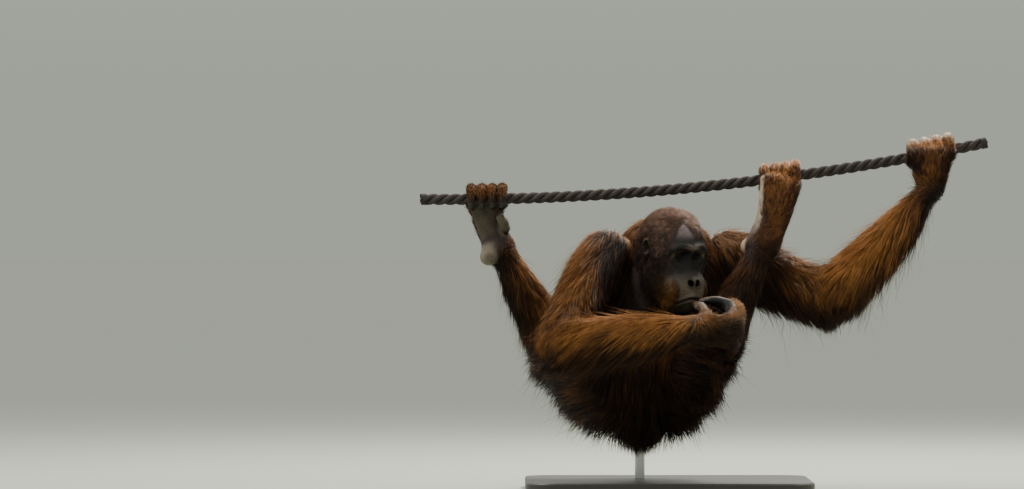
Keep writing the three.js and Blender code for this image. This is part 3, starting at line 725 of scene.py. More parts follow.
def patches(points, size, seed):
    """A soft random pattern from -1 to 1, made of a few crossed waves"""
    rng = np.random.default_rng(seed)
    total = 0
    for _ in range(7):
        way = unit(rng.normal(size=3)) * rng.uniform(0.6, 1.6) / size
        total = total + np.sin(points @ way * 2 * math.pi + rng.uniform(0, 6.3))
    return total / 3.2


def wander(points, size, seed):
    """Three such patterns, one for each axis"""
    return np.stack([patches(points, size, seed + axis) for axis in range(3)], 1)


def inside_fist(points, normals):
    """1 on the inner sides of the half closed right hand"""
    to_axis = FIST_MIDDLE - points
    to_axis = to_axis - np.outer(to_axis @ unit(FIST_AXIS), unit(FIST_AXIS))
    inner = smooth(dot(unit(to_axis), normals), -0.1, 0.35)
    return inner * (1 - smooth(np.linalg.norm(points - FIST_MIDDLE, axis=1), 0.05, 0.07))


def hanging(name, share, long):
    """Hair is shorter where two parts of a limb meet, and on the rump, than between"""
    if name.startswith(("upper_arm", "thigh")):
        return long * (1 - 0.45 * smooth(share, 0.7, 1))
    if name.startswith(("forearm", "shank")):
        return long * (1 - 0.45 * smooth(-share, -0.3, 0)) * (1 - 0.4 * smooth(share, 0.8, 1))
    if name == "trunk":
        return long * (1 - 0.42 * smooth(-share, -0.3, 0))
    return long


# How wide the bare face is at heights over the head's middle, in millimetres
BARE_HEIGHTS = (-160, -140, -112, -90, -60, -20, 6, 20, 32, 46, 56, 64)
BARE_WIDTHS = (20, 36, 43, 46, 50, 52, 45, 37, 23, 13, 5, -20)
DOWN = np.array((0, 0, -1.0))
PART_MIX = 7 * MM
PART_REACH = 0.04
NOT_NEAR = 0.2


def read_coat(points, normals):
    """For each place: the hair's flow, length, lift, darkness and amount, and which part of the body it is"""
    far = np.full((len(HAIR) + 1, len(points)), NOT_NEAR)
    for i, row in enumerate(HAIR.values()):
        near = within(points, row.part.box, PART_REACH)
        far[i, near] = row.part.field(points[near])
    far[-1] = gather(DIGITS, points, DIGIT_BLEND)
    weight = np.exp(-(far - far.min(0)) / PART_MIX)
    weight /= weight.sum(0)
    on = dict(zip(HAIR, weight))
    flow = np.zeros((len(points), 3))
    long, lift, dark, amount = (np.zeros(len(points)) for _ in range(4))
    f, l, u = in_head(points)
    wide = np.abs(l)
    for name, row in HAIR.items():
        used = on[name] > 0.01
        if not used.any():
            continue
        w = on[name][used]
        haired = 1
        length = row.long
        way = DOWN
        if row.way:
            where = row.part.nearest(points[used])
            way = row.way * unit(row.part.at(row.part.way, where))
            length = hanging(name, row.part.share(where), length)
        elif name == "head":
            over = smooth(u[used], -15, 55)[:, None]
            aside = np.tanh(l[used] / 22)[:, None] * LEFT
            way = (1 - over) * (-CROWN - FACE * 0.5) + over * (-FACE * 0.75 + aside * 0.55 - CROWN * 0.2)
        if row.back:
            haired = smooth(normals[used] @ unit(np.array(row.back, float)), -0.25, 0.35)
        flow[used] += way * w[:, None]
        long[used] += length * w
        lift[used] += row.lift * w
        dark[used] += row.dark * w
        amount[used] += row.amount * w * haired
    # painted light and shade on the left arm: it is dark at the elbow and the wrist, and bright between
    along = forearm_left.share(forearm_left.nearest(points))
    forearm_highlight = 0.22 * bump(along - 0.55, 0.25)
    dark = dark + on["forearm_left"] * (0.34 * (1 - smooth(along, 0, 0.3)) - forearm_highlight)
    # fingers and toes: short hair on their backs, from the knuckles on
    on_digit = weight[-1]
    for part, reach in zip(DIGITS, DIGIT_HAIR):
        near = within(points, part.box, 0.006) & (on_digit > 0.05)
        if not near.any():
            continue
        where = part.nearest(points[near])
        touch = smooth(-part.field(points[near]), -0.005, -0.001)
        inner = part.line.mean(0) - part.at(part.line, where)
        back = smooth(-dot(unit(inner), normals[near]), -0.3, 0.3)
        haired = touch * back * (1 - smooth(part.share(where), reach - 0.12, reach + 0.12)) * on_digit[near]
        amount[near] = np.maximum(amount[near], 1.7 * haired)
        flow[near] += part.at(part.way, where) * (touch * on_digit[near])[:, None]
    dark += on_digit * 0.5
    long += on_digit * 15
    lift += on_digit * 0.2
    # the head: a bare face and ears, thin cheeks, a beard, and longer hair below the jaw
    on_head = smooth(on["head"], 0.25, 0.6)
    edge = np.interp(u, BARE_HEIGHTS, BARE_WIDTHS) + 3 * patches(points, 0.02, 3)
    parting = np.abs(l + 14 * smooth(u, 8, 36))
    bare_face = smooth(f, 2, 22) * (1 - smooth(parting, edge - 7, edge + 10)) * on_head
    near_ear = by_ear(f, wide, u, 17)
    cheek = on_head * smooth(f, -36, 4) * (1 - smooth(u, 36, 66))
    beard = bump(wide - 44, 11) * bump(u + 100, 32) * smooth(f, 26, 50) * on_head
    bare = np.maximum(bare_face * (1 - 0.1 * smooth(u, 6, 30)), 0.9 * near_ear)
    amount *= (1 - bare) * (1 - 0.35 * cheek)
    amount = np.maximum(amount, 1.1 * beard)
    long = long * (1 - 0.5 * bare_face)
    # painted shade on the hair of the lower head, under the cheeks and round the jaw
    dark = dark + 0.55 * on_head * smooth(-u, 5, 55) * smooth(f, -60, -25)
    dark = dark * (1 - 0.85 * beard) + 0.12 * beard
    long = np.where(on["head"] > 0.5, long * (0.62 - 0.22 * cheek + 1.5 * smooth(-u, 95, 150)), long)
    long = long * (1 - 0.55 * near_ear) + 13 * beard
    amount *= 1 - smooth(inside_fist(points, normals), 0.05, 0.4)
    # the side of the neck and the hollow of the right shoulder carry little hair
    x, y, z = points.T
    armpit = smooth(x, -0.165, -0.13) * (1 - smooth(x, -0.05, -0.01)) * smooth(z, 0.36, 0.40)
    armpit = armpit * smooth(-y, -0.02, 0.03) * (1 - on["forearm_right"]) * (1 - on_head)
    amount *= 1 - 0.6 * armpit
    long = long * (1 - 0.62 * armpit)
    dark = dark + 0.35 * armpit
    # the belly and the rump: their own darker coat, with painted shade on the underside; the chest under the
    # left arm: a painted shadow of the head
    low_body_tone_and_shade = (1 - smooth(z, 0.2, 0.46)) * smooth(-y, -0.1, 0.05)
    dark = dark + 0.3 * low_body_tone_and_shade * (on["trunk"] + on["thigh_left"])
    head_shadow = smooth(x, 0.05, 0.09) * (1 - smooth(x, 0.19, 0.25))
    head_shadow = head_shadow * (1 - smooth(z, 0.5, 0.56)) * smooth(z, 0.36, 0.42)
    dark = dark + 0.5 * head_shadow * (1 - on_head) * (on["upper_arm_left"] + on["trunk"])
    # painted light and shade: hair that faces up is painted lighter, and hair that faces down darker
    up = normals[:, 2]
    dark = dark + 0.24 - 0.54 * smooth(up, -0.3, 0.85) + 0.42 * smooth(-up, -0.1, 0.6)
    coat = dict(flow=flow, long=long * MM, lift=lift, dark=np.clip(dark, 0, 1), amount=amount)
    coat.update(head=on_head, face=bare_face, beard=beard, cheek=cheek)
    coat["right_hand"] = on["palm_right"] + on["knuckles_right"]
    coat["zone"] = CELL_OF[np.argmin(far[:-1], axis=0)]
    return coat


ORANGE, RUST, DARK = np.array(((0.34, 0.14, 0.034), (0.082, 0.031, 0.01), (0.0085, 0.0045, 0.0032)))
HEAD_HAIR, HAND_HAIR, BEARD_HAIR = np.array(((0.158, 0.09, 0.064), (0.17, 0.105, 0.055), (0.34, 0.155, 0.02)))
FACE_SKIN = (0.0125, 0.0105, 0.0085)
FOREHEAD_SKIN_AND_HIGHLIGHT = (0.16, 0.127, 0.126)
MUZZLE_SKIN = (0.105, 0.082, 0.058)
RIM_SKIN = (0.145, 0.098, 0.068)
CHEEK_SKIN = (0.036, 0.021, 0.012)
EAR_SKIN = (0.03, 0.018, 0.013)
BODY_SKIN = (0.035, 0.024, 0.022)
KNUCKLE_HIGHLIGHT = (0.42, 0.35, 0.27)


def mix(a, b, share):
    """From a to b, by a share for each row"""
    return a + (b - a) * share[:, None]


def hair_colour(dark, coat):
    """From orange through rust to near black, browner on the head and right hand and yellow in the beard"""
    tone = np.clip(dark, 0, 1)[:, None]
    light = ORANGE + (RUST - ORANGE) * np.clip(tone * 2, 0, 1)
    colour = light + (DARK - RUST) * np.clip(tone * 2 - 1, 0, 1)
    for special, most, share in (
        (HEAD_HAIR * (1.35 - 1.25 * tone), 0.95, coat["head"]),
        (HAND_HAIR * (1.2 - tone), 0.55, coat["right_hand"]),
        (BEARD_HAIR * (1.1 - 0.6 * tone), 0.8, coat["beard"]),
    ):
        colour = colour + (special - colour) * most * share[:, None]
    return colour


def face_colour(points, coat):
    """The bare skin of the head: dark, lighter on muzzle and brow, pale with a painted highlight on the
    forehead, and with painted shade in the sockets, mid-face, ear hollows, nostrils and mouth line
    """
    f, l, u = in_head(points)
    wide = np.abs(l)
    muzzle = smooth(f, 56, 84) * bump(u + 91, 27) * (1 - smooth(wide, 30, 46))
    muzzle = np.maximum(muzzle, 0.8 * bump(l, 8) * bump(u - NOSTRIL_HEIGHT - 3, 10) * smooth(f, 60, 80))
    # the forehead's own pale lilac-grey skin, with a painted highlight on it, off its middle towards the head's
    # right
    forehead_highlight = coat["face"] * smooth(f, 2, 30) * smooth(u, 16, 40) * (1 - smooth(np.abs(l + 14), 8, 30))
    rim = bump(u - EYE_HEIGHT - 15 + 0.012 * wide**2, 5) * (1 - smooth(wide, 34, 48)) * smooth(f, 26, 46)
    lid = bump(np.hypot((wide - EYE_SPREAD) * 0.7, u - EYE_HEIGHT + 1) - 7, 2.5) * smooth(f, 50, 60)
    socket = (1 - smooth(from_eye(wide, u), 11, 19)) * smooth(f, 30, 50)
    middle = bump(u + 34, 18) * bump(l, 30) * smooth(f, 30, 50)
    # painted shade in the hollows of the ears and in the nostrils
    hollow_shade = np.zeros(len(points))
    near = within(points, Head.box)
    for shape in ear_hollows + nostrils:
        deep = smooth(-shape.field(points[near]), -2.6 * MM, 0.2 * MM)
        hollow_shade[near] = np.maximum(hollow_shade[near], deep)
    colour = np.tile(FACE_SKIN, (len(points), 1))
    for amount, tone in (
        (coat["cheek"] * smooth(wide, 36, 60), CHEEK_SKIN),
        (by_ear(f, wide, u, 20), EAR_SKIN),
        (forehead_highlight, FOREHEAD_SKIN_AND_HIGHLIGHT),
        (muzzle, MUZZLE_SKIN),
        (rim, RIM_SKIN),
    ):
        colour = mix(colour, tone, amount)
    # painted shade: near black in the eye sockets, a little less at the lids' edges, and darker in the hollow
    # of the middle of the face
    colour = colour * (1 - 0.93 * socket * (1 - 0.3 * lid) - 0.35 * middle * (1 - socket))[:, None]
    colour = colour * (1 - 0.96 * hollow_shade)[:, None]
    # painted shade round the nostrils and in the line of the mouth
    crease_shade = bump(np.hypot(wide - 8.5, (u - NOSTRIL_HEIGHT + 1) * 0.9), 8.5)
    crease_shade = crease_shade + bump(u - mouth_line(l), 2.2) * smooth(f, 60, 72)
    return colour * (1 - 0.8 * np.clip(crease_shade, 0, 1) * smooth(f, 50, 70))[:, None]


def skin_colour(points, normals, coat):
    """Bare skin where it shows, and a darker shade of the coat's own colour under the hair"""
    on_head = coat["head"][:, None]
    bare = np.tile(BODY_SKIN, (len(points), 1)) * (1 - on_head) + face_colour(points, coat) * on_head
    # the knuckles of the left hand over the rope get a pale painted highlight
    for parts, tone in PALE_PARTS + [(grip_left, KNUCKLE_HIGHLIGHT)]:
        for part in parts:
            near = within(points, part.box, 0.008)
            share = smooth(-part.field(points[near]), -0.006, 0)
            if tone is KNUCKLE_HIGHLIGHT:
                share = share * bump(part.share(part.nearest(points[near])) - 0.26, 0.13)
            bare[near] = mix(bare[near], tone, share)
    # painted shade: inside the half closed right hand it is dark
    bare = bare * (1 - 0.97 * inside_fist(points, normals)[:, None])
    bare = bare * (1 + 0.22 * patches(points, 0.03, 5))[:, None]
    furred = smooth(coat["amount"], 0.1, 0.5)[:, None]
    under = hair_colour(np.clip(coat["dark"] + 0.25, 0, 1), coat) * 0.5
    return bare * (1 - furred) + under * furred


# The tufts: each is a thin bent taper with three sides, its root in the skin. Long ones have one more joint.
LONG_STEPS = (0, 0.3, 0.66, 1)
SHORT_STEPS = (0, 0.5, 1)
# Shares of the length, and shares of the full width at them
TAPER = ((0, 0.3, 0.66, 1), (0.85, 1, 0.62, 0))
LONG_FROM = 30 * MM
ROOT_DEPTH = 1.2 * MM
CLEARANCE = 0.6 * MM
STRAY_SHARE = 0.17


def comb(roots, normals, coat, stray, steps):
    """Walks each tuft over the skin along its flow, at a rising height, and lets it hang where it can"""
    count = len(roots)
    length = coat["long"] * random.uniform(0.7, 1.25, count)
    wind = 0.22 * wander(roots, 0.07, 21) + 0.13 * wander(roots, 0.024, 24)
    lean = unit(coat["flow"] + wind + 0.13 * random.normal(size=(count, 3)))
    under = smooth(-normals[:, 2], -0.1, 0.8)
    crown = coat["head"] * (1 - coat["cheek"])
    lift = (coat["lift"] + 0.08 * crown) * random.uniform(0.5, 1.5, count)
    lift = lift * (1 + 0.7 * under) * np.where(stray, 2, 1)
    place = roots - normals * ROOT_DEPTH
    stations = [place]
    normal = normals
    for before, share in zip(steps, steps[1:]):
        sag = DOWN * (0.15 + 0.65 * share + 0.7 * under[:, None] * share)
        aim = lean + sag * np.clip(coat["long"] / 0.07, 0, 1)[:, None]
        aim = unit(aim - normal * dot(aim, normal)[:, None] * (0.96 - 0.5 * under[:, None] * share))
        place = place + aim * (length * (share - before))[:, None]
        normal = slope(sample, place, CELL)
        off = CLEARANCE + lift * length * share**1.15 - sample(place)
        pull = np.where(off > 0, 1, 0.55 * (1 - under * share))
        place = place + normal * (off * pull)[:, None]
        stations.append(place)
    return np.stack(stations, 1)


def clump(stations, roots, size, pull, steps):
    """Draws the tips of neighbouring tufts together into locks, and returns the number of each tuft's lock"""
    warped = roots + 0.3 * size * wander(roots, size * 2.7, 31)
    cell = np.floor(warped / size).astype(np.int64)
    _, lock = np.unique(cell @ np.array((1, 4001, 4001 * 4001)), return_inverse=True)
    members = np.bincount(lock)
    for i, share in enumerate(steps):
        mean = np.stack([np.bincount(lock, stations[:, i, a]) / members for a in range(3)], 1)[lock]
        stations[:, i] += (mean - stations[:, i]) * (pull * share)[:, None]
    return lock


def tuft_mesh(stations, normals, width, steps):
    """Points of all the tufts, ring by ring and then the tip, and the triangles of the first one"""
    points = []
    for i, share in enumerate(steps[:-1]):
        way = unit(stations[:, i + 1] - stations[:, max(i - 1, 0)])
        side = unit(np.cross(way, normals))
        deep = np.cross(side, way)
        half = (width * np.interp(share, *TAPER) / 2)[:, None]
        centre = stations[:, i]
        points += [centre - side * half - deep * half * 0.3, centre + side * half - deep * half * 0.3]
        points.append(centre + deep * half * 0.75)
    points.append(stations[:, -1])
    faces = [(0, 2, 1)]
    last = 3 * (len(steps) - 2)
    for ring in range(0, last, 3):
        for side in range(3):
            a, b = ring + side, ring + (side + 1) % 3
            faces += [(a, b, b + 3), (a, b + 3, a + 3)]
    faces += [(last, last + 1, last + 3), (last + 1, last + 2, last + 3), (last + 2, last, last + 3)]
    return np.stack(points, 1), np.array(faces)


def scatter_roots(count, is_long):
    """Places on the skin, more of them where the coat is fuller, and the skin's direction there"""
    area = np.linalg.norm(face_normals(skin_points, skin_faces), axis=1) / 2
    wanted = (coat_at_skin["long"][skin_faces].mean(1) > LONG_FROM) == is_long
    weight = area * coat_at_skin["amount"][skin_faces].mean(1) * wanted
    pick = skin_faces[random.choice(len(skin_faces), count, p=weight / weight.sum())]
    a, b = np.sqrt(random.random(count)), random.random(count)
    blend = np.stack([1 - a, a * (1 - b), a * b], 1)
    roots = np.einsum("ij,ijk->ik", blend, skin_points[pick])
    return roots, unit(np.einsum("ij,ijk->ik", blend, skin_normals[pick]))


# Finishes


def add_node(nodes, kind, **inputs):
    node = nodes.new(f"ShaderNode{kind}")
    set_inputs(node, inputs)
    return node


def set_inputs(node, inputs):
    for key, value in inputs.items():
        node.inputs[key.replace("_", " ")].default_value = value


def join(source, output, target, to_input):
    source.id_data.links.new(source.outputs[output], target.inputs[to_input])


def add_ramp(nodes, stops):
    """A ramp of colours, each at its place from 0 to 1"""
    ramp = add_node(nodes, "ValToRGB")
    elements = ramp.color_ramp.elements
    while len(elements) < len(stops):
        elements.new(0.5)
    for element, (at, colour) in zip(elements, stops):
        element.position = at
        element.color = (*colour, 1)
    return ramp


def principled(name, **values):
    material = bpy.data.materials.new(name)
    material.use_nodes = True
    shader = material.node_tree.nodes["Principled BSDF"]
    set_inputs(shader, values)
    return material, material.node_tree.nodes, shader


def tinted(name, scale, strength, depth, **values):
    """A finish that takes its colour from the mesh, broken up by noise, with a fine relief"""
    material, nodes, shader = principled(name, **values)
    tint = add_node(nodes, "VertexColor")
    tint.layer_name = "tint"
    noise = add_node(nodes, "TexNoise", Scale=scale, Detail=6)
    place = add_node(nodes, "TexCoord")
    join(place, "Object", noise, "Vector")
    spread = add_node(nodes, "MapRange", From_Min=0.3, From_Max=0.7, To_Min=1 - strength, To_Max=1 + strength)
    join(noise, "Fac", spread, "Value")
    mixed = add_node(nodes, "VectorMath")
    mixed.operation = "SCALE"
    join(tint, "Color", mixed, 0)
    join(spread, "Result", mixed, "Scale")
    join(mixed, "Vector", shader, "Base Color")
    relief = add_node(nodes, "Bump", Strength=0.6, Distance=depth)
    join(noise, "Fac", relief, "Height")
    join(relief, "Normal", shader, "Normal")
    return material


coat_finish = tinted("coat", 60, 0.25, 0.0003, Roughness=0.55, Specular_IOR_Level=0.22)
skin_finish = tinted("skin", 380, 0.3, 0.0012, Roughness=0.55, Specular_IOR_Level=0.18)

# The skin. On the map, each triangle keeps to the turn of its own middle.
grid = grid_field()
skin_points, skin_faces = build_skin()
skin_normals = point_normals(skin_points, skin_faces)
coat_at_skin = read_coat(skin_points, skin_normals)
skin = mesh_object("skin", skin_points, skin_faces, skin_finish)
add_colours(skin, skin_colour(skin_points, skin_normals, coat_at_skin))
zone = coat_at_skin["zone"][skin_faces[:, 0]]
middle = skin_points[skin_faces].mean(1)
turn = np.zeros(len(skin_faces))
for index, name in enumerate(CELLS):
    mine = zone == index
    if mine.any():
        turn[mine] = HAIR[name].part.unwrap(middle[mine])[1]
add_map(skin, unwrap(skin_points[skin_faces.ravel()], np.repeat(zone, 3), np.repeat(turn, 3)))
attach(skin, "root")
FLESH = ("head", "neck", "torso", "arm", "leg", "hand", "foot", "ear")
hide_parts(*[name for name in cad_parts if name.split("_")[0] in FLESH])

# The coat, in pieces of under 200,000 triangles. Each tuft is one patch of the map at its root's place.
LONG_TUFTS = 59000
SHORT_TUFTS = 52000
QUICK_WIDTH = 1
PATCH = 0.003


def grow_coat(name, count, per_piece, steps, is_long):
    """Sets out the long or the short tufts, colours them, and makes pieces of them in the order of the parts"""
    roots, lie = scatter_roots(count, is_long)
    coat = read_coat(roots, lie)
    stray = random.random(count) < STRAY_SHARE
    stations = comb(roots, lie, coat, stray, steps)
    pull = np.clip(0.2 + coat["long"] / 0.13, 0.2, 0.7) * np.where(stray, 0.3, 1)
    pull = pull * (0.5 + 0.5 * smooth(roots[:, 2], 0.14, 0.3))
    lock = clump(stations, roots, (13 if is_long else 7) * MM, pull, steps)
    width = (0.0007 + 0.0115 * coat["long"]) if is_long else (0.00042 + 0.02 * coat["long"])
    width = width * random.uniform(0.7, 1.35, count) * np.where(stray, 0.5, 1) * QUICK_WIDTH
    points, faces = tuft_mesh(stations, lie, width, steps)
    tone = random.normal(size=lock.max() + 1)[lock]
    dark = coat["dark"] + 0.1 * tone + 0.1 * random.normal(size=count)
    dark = dark + 0.12 * patches(roots, 0.12, 41) - 0.2 * stray
    upper_head = coat["head"] * smooth(in_head(roots)[2], -60, 0)
    dark = dark + upper_head * (0.12 * tone + 0.14 * patches(roots, 0.025, 42))
    along = np.array([share for share in steps[:-1] for _ in range(3)] + [1.0])
    root_colour, tip_colour = (hair_colour(dark + shade, coat)[:, None] for shade in (0.12, -0.14))
    colours = root_colour * (1 - along[None, :, None]) + tip_colour * along[None, :, None]
    across = np.array([-1, 1, 0] * (len(steps) - 1) + [0]) * PATCH / 2
    centre = unwrap(roots, coat["zone"])
    uv = np.stack([centre[:, :1] + across, centre[:, 1:] + (along - 0.5) * PATCH], -1)
    order = np.argsort(coat["zone"], kind="stable")
    for number, start in enumerate(range(0, count, per_piece)):
        mine = order[start : start + per_piece]
        all_faces = (faces[None] + points.shape[1] * np.arange(len(mine))[:, None, None]).reshape(-1, 3)
        piece = mesh_object(f"{name}_{number + 1}", points[mine].reshape(-1, 3), all_faces, coat_finish)
        add_colours(piece, colours[mine].reshape(-1, 3))
        add_map(piece, uv[mine].reshape(-1, 2)[all_faces.ravel()])
        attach(piece, "root")


grow_coat("coat_long", LONG_TUFTS, 12000, LONG_STEPS, True)
grow_coat("coat_short", SHORT_TUFTS, 18000, SHORT_STEPS, False)

# Eyes: a ball with a bulge over the iris, dark round the rim. The ramp's places are angles in radians.
eye_finish, nodes, shader = principled("eye", Roughness=0.1, Specular_IOR_Level=0.07)
ring = add_node(nodes, "Attribute")
ring.attribute_name = "ring"
# the ramp's colours are all near black: the eye's own dark colour, painted darker still as shade of the deep
# socket
ramp = add_ramp(
    nodes,
    [
        (0.0, (0.002, 0.002, 0.002)),
        (0.2, (0.002, 0.002, 0.002)),
        (0.24, (0.014, 0.0055, 0.0025)),
        (0.5, (0.022, 0.009, 0.004)),
        (0.56, (0.004, 0.0025, 0.002)),
        (0.7, (0.007, 0.0045, 0.0035)),
    ],
)
join(ring, "Fac", ramp, "Fac")
join(ramp, "Color", shader, "Base Color")
GAZE = unit(FACE - 0.12 * LEFT - 0.1 * CROWN)


def build_eye(side, node):
    """A ball that replaces one node; its attribute ring is each point's angle from the gaze"""
    rows, sides = 40, 40
    angle = np.repeat(np.linspace(0, math.pi, rows + 1)[1:-1], sides)
    turn = np.tile(np.arange(sides) * 2 * math.pi / sides, rows - 1)
    angle = np.concatenate([[0], angle, [math.pi]])
    turn = np.concatenate([[0], turn, [0]])
    radius = (EYE_RADIUS - 0.15 + 0.5 * bump(angle, 0.42)) * MM
    side_way = unit(np.cross(GAZE, CROWN))
    up_way = np.cross(side_way, GAZE)
    out = np.cos(turn)[:, None] * side_way + np.sin(turn)[:, None] * up_way
    way = np.cos(angle)[:, None] * GAZE + np.sin(angle)[:, None] * out
    points = head(EYE_FORWARD, side * EYE_SPREAD, EYE_HEIGHT) + way * radius[:, None]
    faces = []
    last = 1 + (rows - 2) * sides
    for s in range(sides):
        n = (s + 1) % sides
        faces += [(0, 1 + s, 1 + n), (len(points) - 1, last + n, last + s)]
        for start in range(1, last, sides):
            a, b = start + s, start + n
            faces += [(a, a + sides, b + sides), (a, b + sides, b)]
    made = mesh_object(f"eye_ball_{node.split('_')[1]}", points, np.array(faces), eye_finish)
    layer = made.data.attributes.new("ring", "FLOAT", "POINT")
    layer.data.foreach_set("value", angle.astype(np.float32))
    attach(made, "root")
    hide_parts(node)


build_eye(-1, "eye_right")
build_eye(1, "eye_left")

# Nails, on the last joint of the toes of both feet, of the left hand's four fingers, of the right thumb and of
# the right big toe
NAIL_COLOUR = (0.02, 0.015, 0.012, 1)
nail_finish, *_ = principled("nail", Base_Color=NAIL_COLOUR, Roughness=0.4, Specular_IOR_Level=0.3)
NAIL_ROWS = 7


def build_nail(name, part, out):
    """A small curved plate on the outer side of a digit's end: an inner and an outer sheet, and a rim"""
    n = NAIL_ROWS
    end, way, radius = part.line[-1], part.way[-1], part.size[-1, 0]
    out = np.array(out, float)
    out = unit(out - way * (way @ out))
    side = np.cross(way, out)
    points, faces = [], []
    for depth in (0, 1):
        for share in np.linspace(-0.7, 0.75, n):
            half = 0.75 * (1 - 0.25 * share * share - (0.2 if share > 0.6 else 0))
            for turn in np.linspace(-1, 1, n):
                lean = turn * half * 1.1
                shell = radius * (1.02 + 0.06 * depth - 0.16 * max(share, 0) ** 2)
                place = math.sin(lean) * side + math.cos(lean) * out * 0.92
                points.append(end + way * radius * share + shell * place)
        for i in range(n - 1):
            for j in range(n - 1):
                a = (depth * n + i) * n + j
                quad = (a, a + 1, a + n + 1, a + n)
                faces.append(quad if depth else quad[::-1])
    area = n * n
    rim = [*range(n), *range(2 * n - 1, area, n)]
    rim += [*range(area - 2, area - n - 1, -1), *range(area - 2 * n, 0, -n)]
    faces += [(a, b, b + area, a + area) for a, b in zip(rim, rim[1:] + rim[:1])]
    made = mesh_object(name, np.array(points), np.array(faces), nail_finish)
    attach(made, "root")


for name, digits, out in (
    ("foot_right", toes_right, (0, -1, 0)),
    ("foot_left", toes_left, (0, 1, 0)),
    ("hand_left", grip_left, (0, 1, 0)),
):
    for n, part in enumerate(digits):
        build_nail(f"nail_{name}_{n + 1}", part, out)
build_nail("nail_thumb_right", thumb_right, (-0.3, 0, 1))
build_nail("nail_big_toe_right", big_toe_right, (0.8, 0, 0.4))

# The rope: three strands laid round each other, with a cap inside each end
STRANDS = 3
STRAND_RADIUS = 6.2 * MM
STRAND_OUT = 6.75 * MM
STRAND_PAST = 0.008
CAP_RADIUS = ROPE_RADIUS * 0.98
CAP_DEPTH = 0.012
LAY = 75 * MM
rope_finish, nodes, shader = principled("rope", Roughness=0.85, Specular_IOR_Level=0.25)
place = add_node(nodes, "UVMap")
place.uv_map = "lay"
fibre = add_node(nodes, "TexWave", Scale=2.2, Distortion=3, Detail=4)
fibre.bands_direction = "Y"
join(place, "UV", fibre, "Vector")
ramp = add_ramp(nodes, [(0, (0.028, 0.023, 0.019)), (1, (0.12, 0.1, 0.085))])
join(fibre, "Fac", ramp, "Fac")
join(ramp, "Color", shader, "Base Color")
relief = add_node(nodes, "Bump", Distance=0.0006)
join(fibre, "Fac", relief, "Height")
join(relief, "Normal", shader, "Normal")


def build_rope():
    steps, sides = 420, 12
    x = np.linspace(ROPE_START - STRAND_PAST, ROPE_END + STRAND_PAST, steps)
    centre = np.stack([x, np.zeros(steps), rope_z(x)], 1)
    way = unit(np.gradient(centre, axis=0))
    side = np.tile((0, 1.0, 0), (steps, 1))
    up = np.cross(way, side)
    points = []
    for strand in range(STRANDS):
        turn = 2 * math.pi * (strand / STRANDS + x / LAY)
        out = np.cos(turn)[:, None] * up + np.sin(turn)[:, None] * side
        line = centre + out * STRAND_OUT
        flank = unit(np.cross(unit(np.gradient(line, axis=0)), out))
        angles = [2 * math.pi * s / sides for s in range(sides)]
        round_line = [line + STRAND_RADIUS * (math.cos(a) * out + math.sin(a) * flank) for a in angles]
        points.append(np.stack(round_line, 1).reshape(-1, 3))
    i, s = np.meshgrid(np.arange(steps - 1), np.arange(sides), indexing="ij")
    n = (s + 1) % sides
    here, ahead = i * sides, (i + 1) * sides
    quads = np.stack([here + s, ahead + s, ahead + n, here + n], -1).reshape(-1, 4)
    faces = np.vstack([quads + strand * steps * sides for strand in range(STRANDS)])
    u = np.stack([i, i + 1, i + 1, i], -1) * 0.08
    v = np.stack([s, s, s + 1, s + 1], -1) * 0.8
    made = mesh_object("rope_strands", np.vstack(points), faces, rope_finish)
    add_map(made, np.tile(np.stack([u, v], -1).reshape(-1, 2), (STRANDS, 1)), "lay")
    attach(made, "root")
    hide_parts("perch_rope")
    for end, name, inward in ((0, "low", 1), (steps - 1, "high", -1)):
        bpy.ops.mesh.primitive_cylinder_add(radius=CAP_RADIUS, depth=CAP_DEPTH, vertices=32)
        cap = bpy.context.object
        cap.name = f"rope_end_{name}"
        cap.location = centre[end] + way[end] * (inward * CAP_DEPTH / 2)
        cap.rotation_euler = (0, math.atan2(way[end][0], way[end][2]), 0)
        cap.data.materials.append(rope_finish)
        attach(cap, "root")


build_rope()

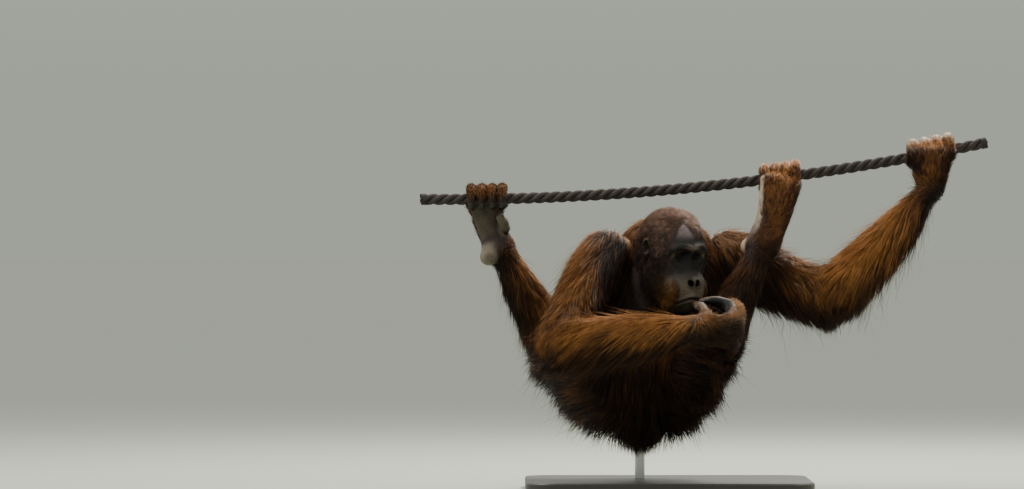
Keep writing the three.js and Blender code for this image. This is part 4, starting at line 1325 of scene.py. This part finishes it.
# The stand keeps the part's own shapes and takes a finish
base_finish, *_ = principled("stand_wood", Base_Color=(0.035, 0.03, 0.027, 1), Roughness=0.4)
rod_finish, *_ = principled("stand_steel", Base_Color=(0.5, 0.5, 0.5, 1), Metallic=1.0, Roughness=0.35)
for name, finish in (("stand_base", base_finish), ("stand_rod", rod_finish)):
    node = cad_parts[name]
    node.data.materials.clear()
    node.data.materials.append(finish)

# Floor, light and camera
bpy.ops.mesh.primitive_plane_add(size=400)
floor = bpy.context.object
floor.name = "floor"
FLOOR_COLOUR = (0.36, 0.385, 0.335, 1)
floor_finish, *_ = principled("floor", Base_Color=FLOOR_COLOUR, Roughness=0.95, Specular_IOR_Level=0.1)
floor.data.materials.append(floor_finish)


def area_light(name, at, towards, size, power, colour):
    data = bpy.data.lights.new(name, "AREA")
    data.shape = "DISK"
    data.size = size
    data.energy = power
    data.color = colour
    made = bpy.data.objects.new(name, data)
    made.location = at
    made.rotation_euler = (Vector(towards) - Vector(at)).to_track_quat("-Z", "Y").to_euler()
    bpy.context.scene.collection.objects.link(made)


area_light("key_top_back", (0.9, 1.6, 3.0), (0.05, 0, 0.5), 1.4, 230, (1, 0.96, 0.86))
area_light("top_left", (-2.0, -0.4, 2.8), (0, 0, 0.5), 1.6, 70, (1, 0.98, 0.94))

world = bpy.data.worlds.new("world")
bpy.context.scene.world = world
world.use_nodes = True
nodes = world.node_tree.nodes
heading = add_node(nodes, "TexCoord")
split = add_node(nodes, "SeparateXYZ")
sky_ramp = add_ramp(nodes, [(0.03, (0.36, 0.385, 0.33)), (0.5, (1.0, 1.0, 0.96))])
join(heading, "Generated", split, "Vector")
join(split, "Z", sky_ramp, "Fac")
join(sky_ramp, "Color", nodes["Background"], "Color")
set_inputs(nodes["Background"], dict(Strength=1.1))

CAMERA_FAR = 12.0
SEEN_WIDTH = 2.294
SENSOR = 36
camera_data = bpy.data.cameras.new("camera")
camera_data.sensor_width = SENSOR
camera_data.lens = SENSOR * CAMERA_FAR / SEEN_WIDTH
camera_data.clip_end = 500
camera = bpy.data.objects.new("camera", camera_data)
camera.location = (-0.3494, -CAMERA_FAR, 0.55)
camera.rotation_euler = (math.radians(90), 0, 0)
bpy.context.scene.collection.objects.link(camera)
bpy.context.scene.camera = camera
